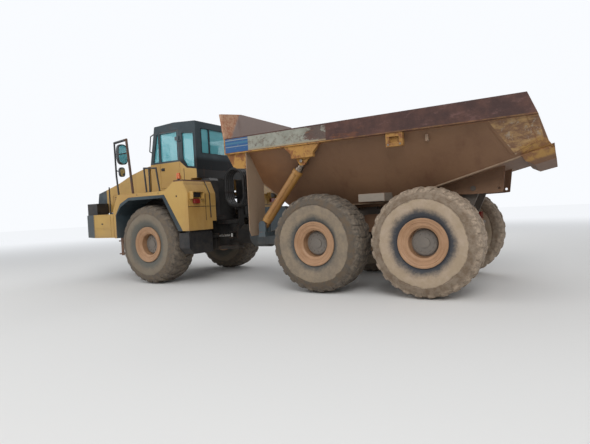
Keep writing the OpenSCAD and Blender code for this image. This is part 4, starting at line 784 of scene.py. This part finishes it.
for x, y in fenderTrim["feet"]:
    low, high = fenderTrim["footZ"]
    rod(seamMesh, (x, y, low), (x, y, high), fenderTrim["foot"], 16)
bothSides(seamMesh)
addPiece("fender_trim", seamMesh, "front_unit", blackPlastic)


def sidePanel(mesh, spot, x, z, wide, proud):  # a thin frame on an upright face at Y
    (rear, front), (low, high) = x, z
    outline = [(rear, spot, low), (front, spot, low), (front, spot, high), (rear, spot, high)]
    border(mesh, outline, wide, (0, proud, 0))


# bumper: borders of its panels and a catch
bumperTrim = {"y": 1.5198, "x": (4.205, 4.840), "panels": [(1.330, 1.640), (1.110, 1.300)], "wide": 0.008,
              "proud": 0.004, "catch": [(4.500, 1.518, 1.418), (4.560, 1.528, 1.448), 0.003]}
noseMesh = bmesh.new()
for heights in bumperTrim["panels"]:
    sidePanel(noseMesh, bumperTrim["y"], bumperTrim["x"], heights, bumperTrim["wide"], bumperTrim["proud"])
block(noseMesh, *bumperTrim["catch"])
bothSides(noseMesh)
addPiece("bumper_trim", noseMesh, "front_unit", blackPlastic)

# hood: louvres in a frame on each side, and a vent across its slope
hoodLook = {"louvreX": (3.98, 4.72), "louvreZ": (1.84, 2.12), "louvres": 7, "louvreY": 0.940, "louvre": 0.010,
            "frameX": (3.92, 4.78), "frameZ": (1.79, 2.17), "frameY": 0.9398, "wide": 0.012, "proud": 0.005}
vent = {"bars": 9, "first": 0.12, "step": 0.095, "top": (4.03, 2.657), "run": (0.47, -0.175), "half": 0.42,
        "bar": 0.011}
hoodTrim = bmesh.new()
(rearX, frontX), (lowZ, highZ) = hoodLook["louvreX"], hoodLook["louvreZ"]
for step in range(hoodLook["louvres"]):
    y, z = hoodLook["louvreY"], lowZ + step * (highZ - lowZ) / (hoodLook["louvres"] - 1)
    rod(hoodTrim, (rearX, y, z), (frontX, y, z), hoodLook["louvre"], 6)
sidePanel(hoodTrim, hoodLook["frameY"], hoodLook["frameX"], hoodLook["frameZ"], hoodLook["wide"], hoodLook["proud"])
bothSides(hoodTrim)
for step in range(vent["bars"]):
    share = vent["first"] + step * vent["step"]
    x, z = (start + run * share for start, run in zip(vent["top"], vent["run"]))
    rod(hoodTrim, (x, -vent["half"], z), (x, vent["half"], z), vent["bar"], 6)
addPiece("hood_trim", hoodTrim, "hood", blackPlastic)

# bed: rolled lower edges, each end with its X, the height where it meets the flank, and its own height; and a stub
bedEdges = {"rolls": [((-2.78, 1.6, 1.606), (-5.01, 2.198, 2.204), 0.017),
                      ((-0.64, 1.6, 1.606), (-2.78, 1.6, 1.606), 0.014),
                      ((-0.64, 1.6, 1.606), (0.285, 2.725, 2.725), 0.012)],
            "stub": {"x": (-3.715, -3.665), "y": 1.46, "z": (2.555, 2.665), "atZ": 2.66, "proud": 0.012, "soft": 0.004}}
edgeMesh = bmesh.new()
for start, end, radius in bedEdges["rolls"]:
    start, end = ((x, flankY(flankZ), z) for x, flankZ, z in (start, end))
    rod(edgeMesh, start, end, radius, 10)
stub = bedEdges["stub"]
(rearX, frontX), (lowZ, highZ) = stub["x"], stub["z"]
block(edgeMesh, (rearX, stub["y"], lowZ), (frontX, flankY(stub["atZ"]) + stub["proud"], highZ), stub["soft"])
bothSides(edgeMesh)
addPiece("bed_edges", edgeMesh, "bed", mudguardPaint)

# bed: a pin at each hoist's eye and bolts beside it
eyePins = {"x": -1.41, "z": 2.45, "y": (1.545, 1.640), "radius": 0.030, "boltX": (-1.49, -1.33), "boltZ": 2.535,
           "boltY": (1.600, 1.612), "bolt": 0.013}
pinMesh = bmesh.new()
(low, high), x, z = eyePins["y"], eyePins["x"], eyePins["z"]
rod(pinMesh, (x, low, z), (x, high, z), eyePins["radius"], 16)
for x in eyePins["boltX"]:
    (low, high), z = eyePins["boltY"], eyePins["boltZ"]
    rod(pinMesh, (x, low, z), (x, high, z), eyePins["bolt"], 6)
bothSides(pinMesh)
addPiece("bed_pins", pinMesh, "bed", fittingSteel)

# hoists: rings round each barrel, from its foot along its length, and a clipped pipe beside it
barrel = {"foot": (-0.44, 1.50, 1.29), "eye": (-1.41, 1.50, 2.45),
          "rings": [(1.225, 1.290, 0.101), (0.16, 0.20, 0.099)], "pipe": (0.24, 1.20), "pipeAt": (0.030, 0.094),
          "pipeRadius": 0.010, "clips": (0.24, 0.72, 1.20), "clipHalf": 0.014, "clip": 0.018}
foot, eye = Vector(barrel["foot"]), Vector(barrel["eye"])
along = (eye - foot).normalized()
square = along.cross(Vector((0, 1, 0)))
hoistMesh = bmesh.new()
for low, high, radius in barrel["rings"]:
    rod(hoistMesh, foot + along * low, foot + along * high, radius, 32)
squarely, sideways = barrel["pipeAt"]
pipe = square * squarely + Vector((0, sideways, 0))
low, high = barrel["pipe"]
rod(hoistMesh, foot + along * low + pipe, foot + along * high + pipe, barrel["pipeRadius"], 8)
for far in barrel["clips"]:
    clip, half = foot + along * far + pipe, along * barrel["clipHalf"]
    rod(hoistMesh, clip - half, clip + half, barrel["clip"], 8)
bothSides(hoistMesh)
addPiece("hoist_rings", hoistMesh, "hoist_barrels", hoistPaint)

# hoses: a tie round each loop where it turns straight
hoseTies = {"count": 4, "first": 0.068, "step": 0.0798, "x": (0.918, 1.462), "z": (2.030, 2.080), "radius": 0.0435}
tieMesh = bmesh.new()
low, high = hoseTies["z"]
for index in range(hoseTies["count"]):
    y = hoseTies["first"] + index * hoseTies["step"]
    for x in hoseTies["x"]:
        rod(tieMesh, (x, y, low), (x, y, high), hoseTies["radius"], 16)
addPiece("hose_ties", tieMesh, "hitch", grimeAndShadePaint)

# bolt heads: two rows across the frame's outriggers, and a pair on the rail's bracket box
boltRadius = 0.016
frameBolts = {"x": (-0.50, -0.38), "z": (1.12, 1.162), "y": 0.62, "step": 0.15, "count": 6}
boxBolts = {"x": (-3.30, -3.10), "z": 2.54, "y": (1.699, 1.711)}
frameMesh = bmesh.new()
low, high = frameBolts["z"]
for x in frameBolts["x"]:
    for index in range(frameBolts["count"]):
        y = frameBolts["y"] + index * frameBolts["step"]
        rod(frameMesh, (x, y, low), (x, y, high), boltRadius, 6)
bothSides(frameMesh)
addPiece("rear_unit_bolts", frameMesh, "rear_unit", fittingSteel)
boxMesh = bmesh.new()
low, high = boxBolts["y"]
for x in boxBolts["x"]:
    rod(boxMesh, (x, low, boxBolts["z"]), (x, high, boxBolts["z"]), boltRadius, 6)
bothSides(boxMesh)
addPiece("bed_bolts", boxMesh, "bed", fittingSteel)
print("fittings made")

# floor: pale, and faded to haze far off for the camera alone
stageLook = {"floorSize": 90, "floor": (0.80, 0.79, 0.77), "fade": (7, 34), "haze": (0.90, 0.92, 0.95),
             "sky": (0.93, 0.96, 1.0), "skyPower": 0.5, "backdrop": (0.95, 0.97, 1)}
floorMesh = bmesh.new()
bmesh.ops.create_grid(floorMesh, x_segments=1, y_segments=1, size=stageLook["floorSize"])
floorData = bpy.data.meshes.new("floor")
floorMesh.to_mesh(floorData)
floorMesh.free()
floor = bpy.data.objects.new("floor", floorData)
bpy.context.scene.collection.objects.link(floor)
floorFinish = Finish("floorFinish", Base_Color=(*stageLook["floor"], 1), Roughness=0.9)
reach = floorFinish.add("ShaderNodeVectorMath", {"operation": "LENGTH"}, {0: floorFinish.place}, "Value")
seenStraight = floorFinish.add("ShaderNodeLightPath", output="Is Camera Ray")
haze = floorFinish.add("ShaderNodeEmission", None, {"Color": (*stageLook["haze"], 1)})
lit = Wire(floorFinish, floorFinish.shader.outputs["BSDF"])
farOff = floorFinish.step(reach, *stageLook["fade"]) * seenStraight
faded = floorFinish.add("ShaderNodeMixShader", None, {0: farOff, 1: lit, 2: haze})
floorFinish.tree.links.new(faded.socket, floorFinish.tree.nodes["Material Output"].inputs["Surface"])
floorData.materials.append(floorFinish.material)

# world: soft light on the object, and a pale backdrop for the camera, glass and metal
world = bpy.data.worlds.new("studio")
bpy.context.scene.world = world
world.use_nodes = True
tree = world.node_tree
tree.nodes.clear()
path = tree.nodes.new("ShaderNodeLightPath")
rays = [path.outputs["Is Camera Ray"], path.outputs["Is Transmission Ray"], path.outputs["Is Glossy Ray"]]
seen = rays[0]
for ray in rays[1:]:
    either = tree.nodes.new("ShaderNodeMath")
    either.operation = "MAXIMUM"
    tree.links.new(seen, either.inputs[0])
    tree.links.new(ray, either.inputs[1])
    seen = either.outputs[0]
blend = tree.nodes.new("ShaderNodeMixShader")
tree.links.new(seen, blend.inputs[0])
for slot, (colour, power) in enumerate(((stageLook["sky"], stageLook["skyPower"]), (stageLook["backdrop"], 1)), 1):
    background = tree.nodes.new("ShaderNodeBackground")
    background.inputs["Color"].default_value = (*colour, 1)
    background.inputs["Strength"].default_value = power
    tree.links.new(background.outputs[0], blend.inputs[slot])
tree.links.new(blend.outputs[0], tree.nodes.new("ShaderNodeOutputWorld").inputs[0])

lamps = {"key": {"at": (-9, 14, 12), "size": 9, "power": 1500}, "fill": {"at": (10, 9, 7), "size": 8, "power": 350},
         "back": {"at": (2, -14, 10), "size": 9, "power": 450}}
lampAim = Vector((0, 0, 1.2))
for lampName, look in lamps.items():
    lampData = bpy.data.lights.new(lampName, "AREA")
    lampData.size = look["size"]
    lampData.energy = look["power"]
    lamp = bpy.data.objects.new(lampName, lampData)
    turn = (lampAim - Vector(look["at"])).to_track_quat("-Z", "Y").to_matrix().to_4x4()
    lamp.matrix_world = Matrix.Translation(look["at"]) @ turn
    bpy.context.scene.collection.objects.link(lamp)

# camera at the photograph's angle
view = {"at": (-5.506, 8.868, 1.557), "yaw": 0.534877, "pitch": -0.0271195, "roll": -0.0493502, "lens": 27.4753,
        "sensor": 36}
flat = math.cos(view["pitch"])
ahead = Vector((math.sin(view["yaw"]) * flat, -math.cos(view["yaw"]) * flat, math.sin(view["pitch"])))
across = ahead.cross(Vector((0, 0, 1))).normalized()
above = across.cross(ahead)
right = across * math.cos(view["roll"]) + above * math.sin(view["roll"])
up = above * math.cos(view["roll"]) - across * math.sin(view["roll"])
cameraData = bpy.data.cameras.new("camera")
cameraData.sensor_width = view["sensor"]
cameraData.lens = view["lens"]
camera = bpy.data.objects.new("camera", cameraData)
camera.matrix_world = Matrix.Translation(view["at"]) @ Matrix((right, up, -ahead)).transposed().to_4x4()
bpy.context.scene.collection.objects.link(camera)
bpy.context.scene.camera = camera
bpy.context.scene.view_settings.view_transform = "Standard"
print("stage set")
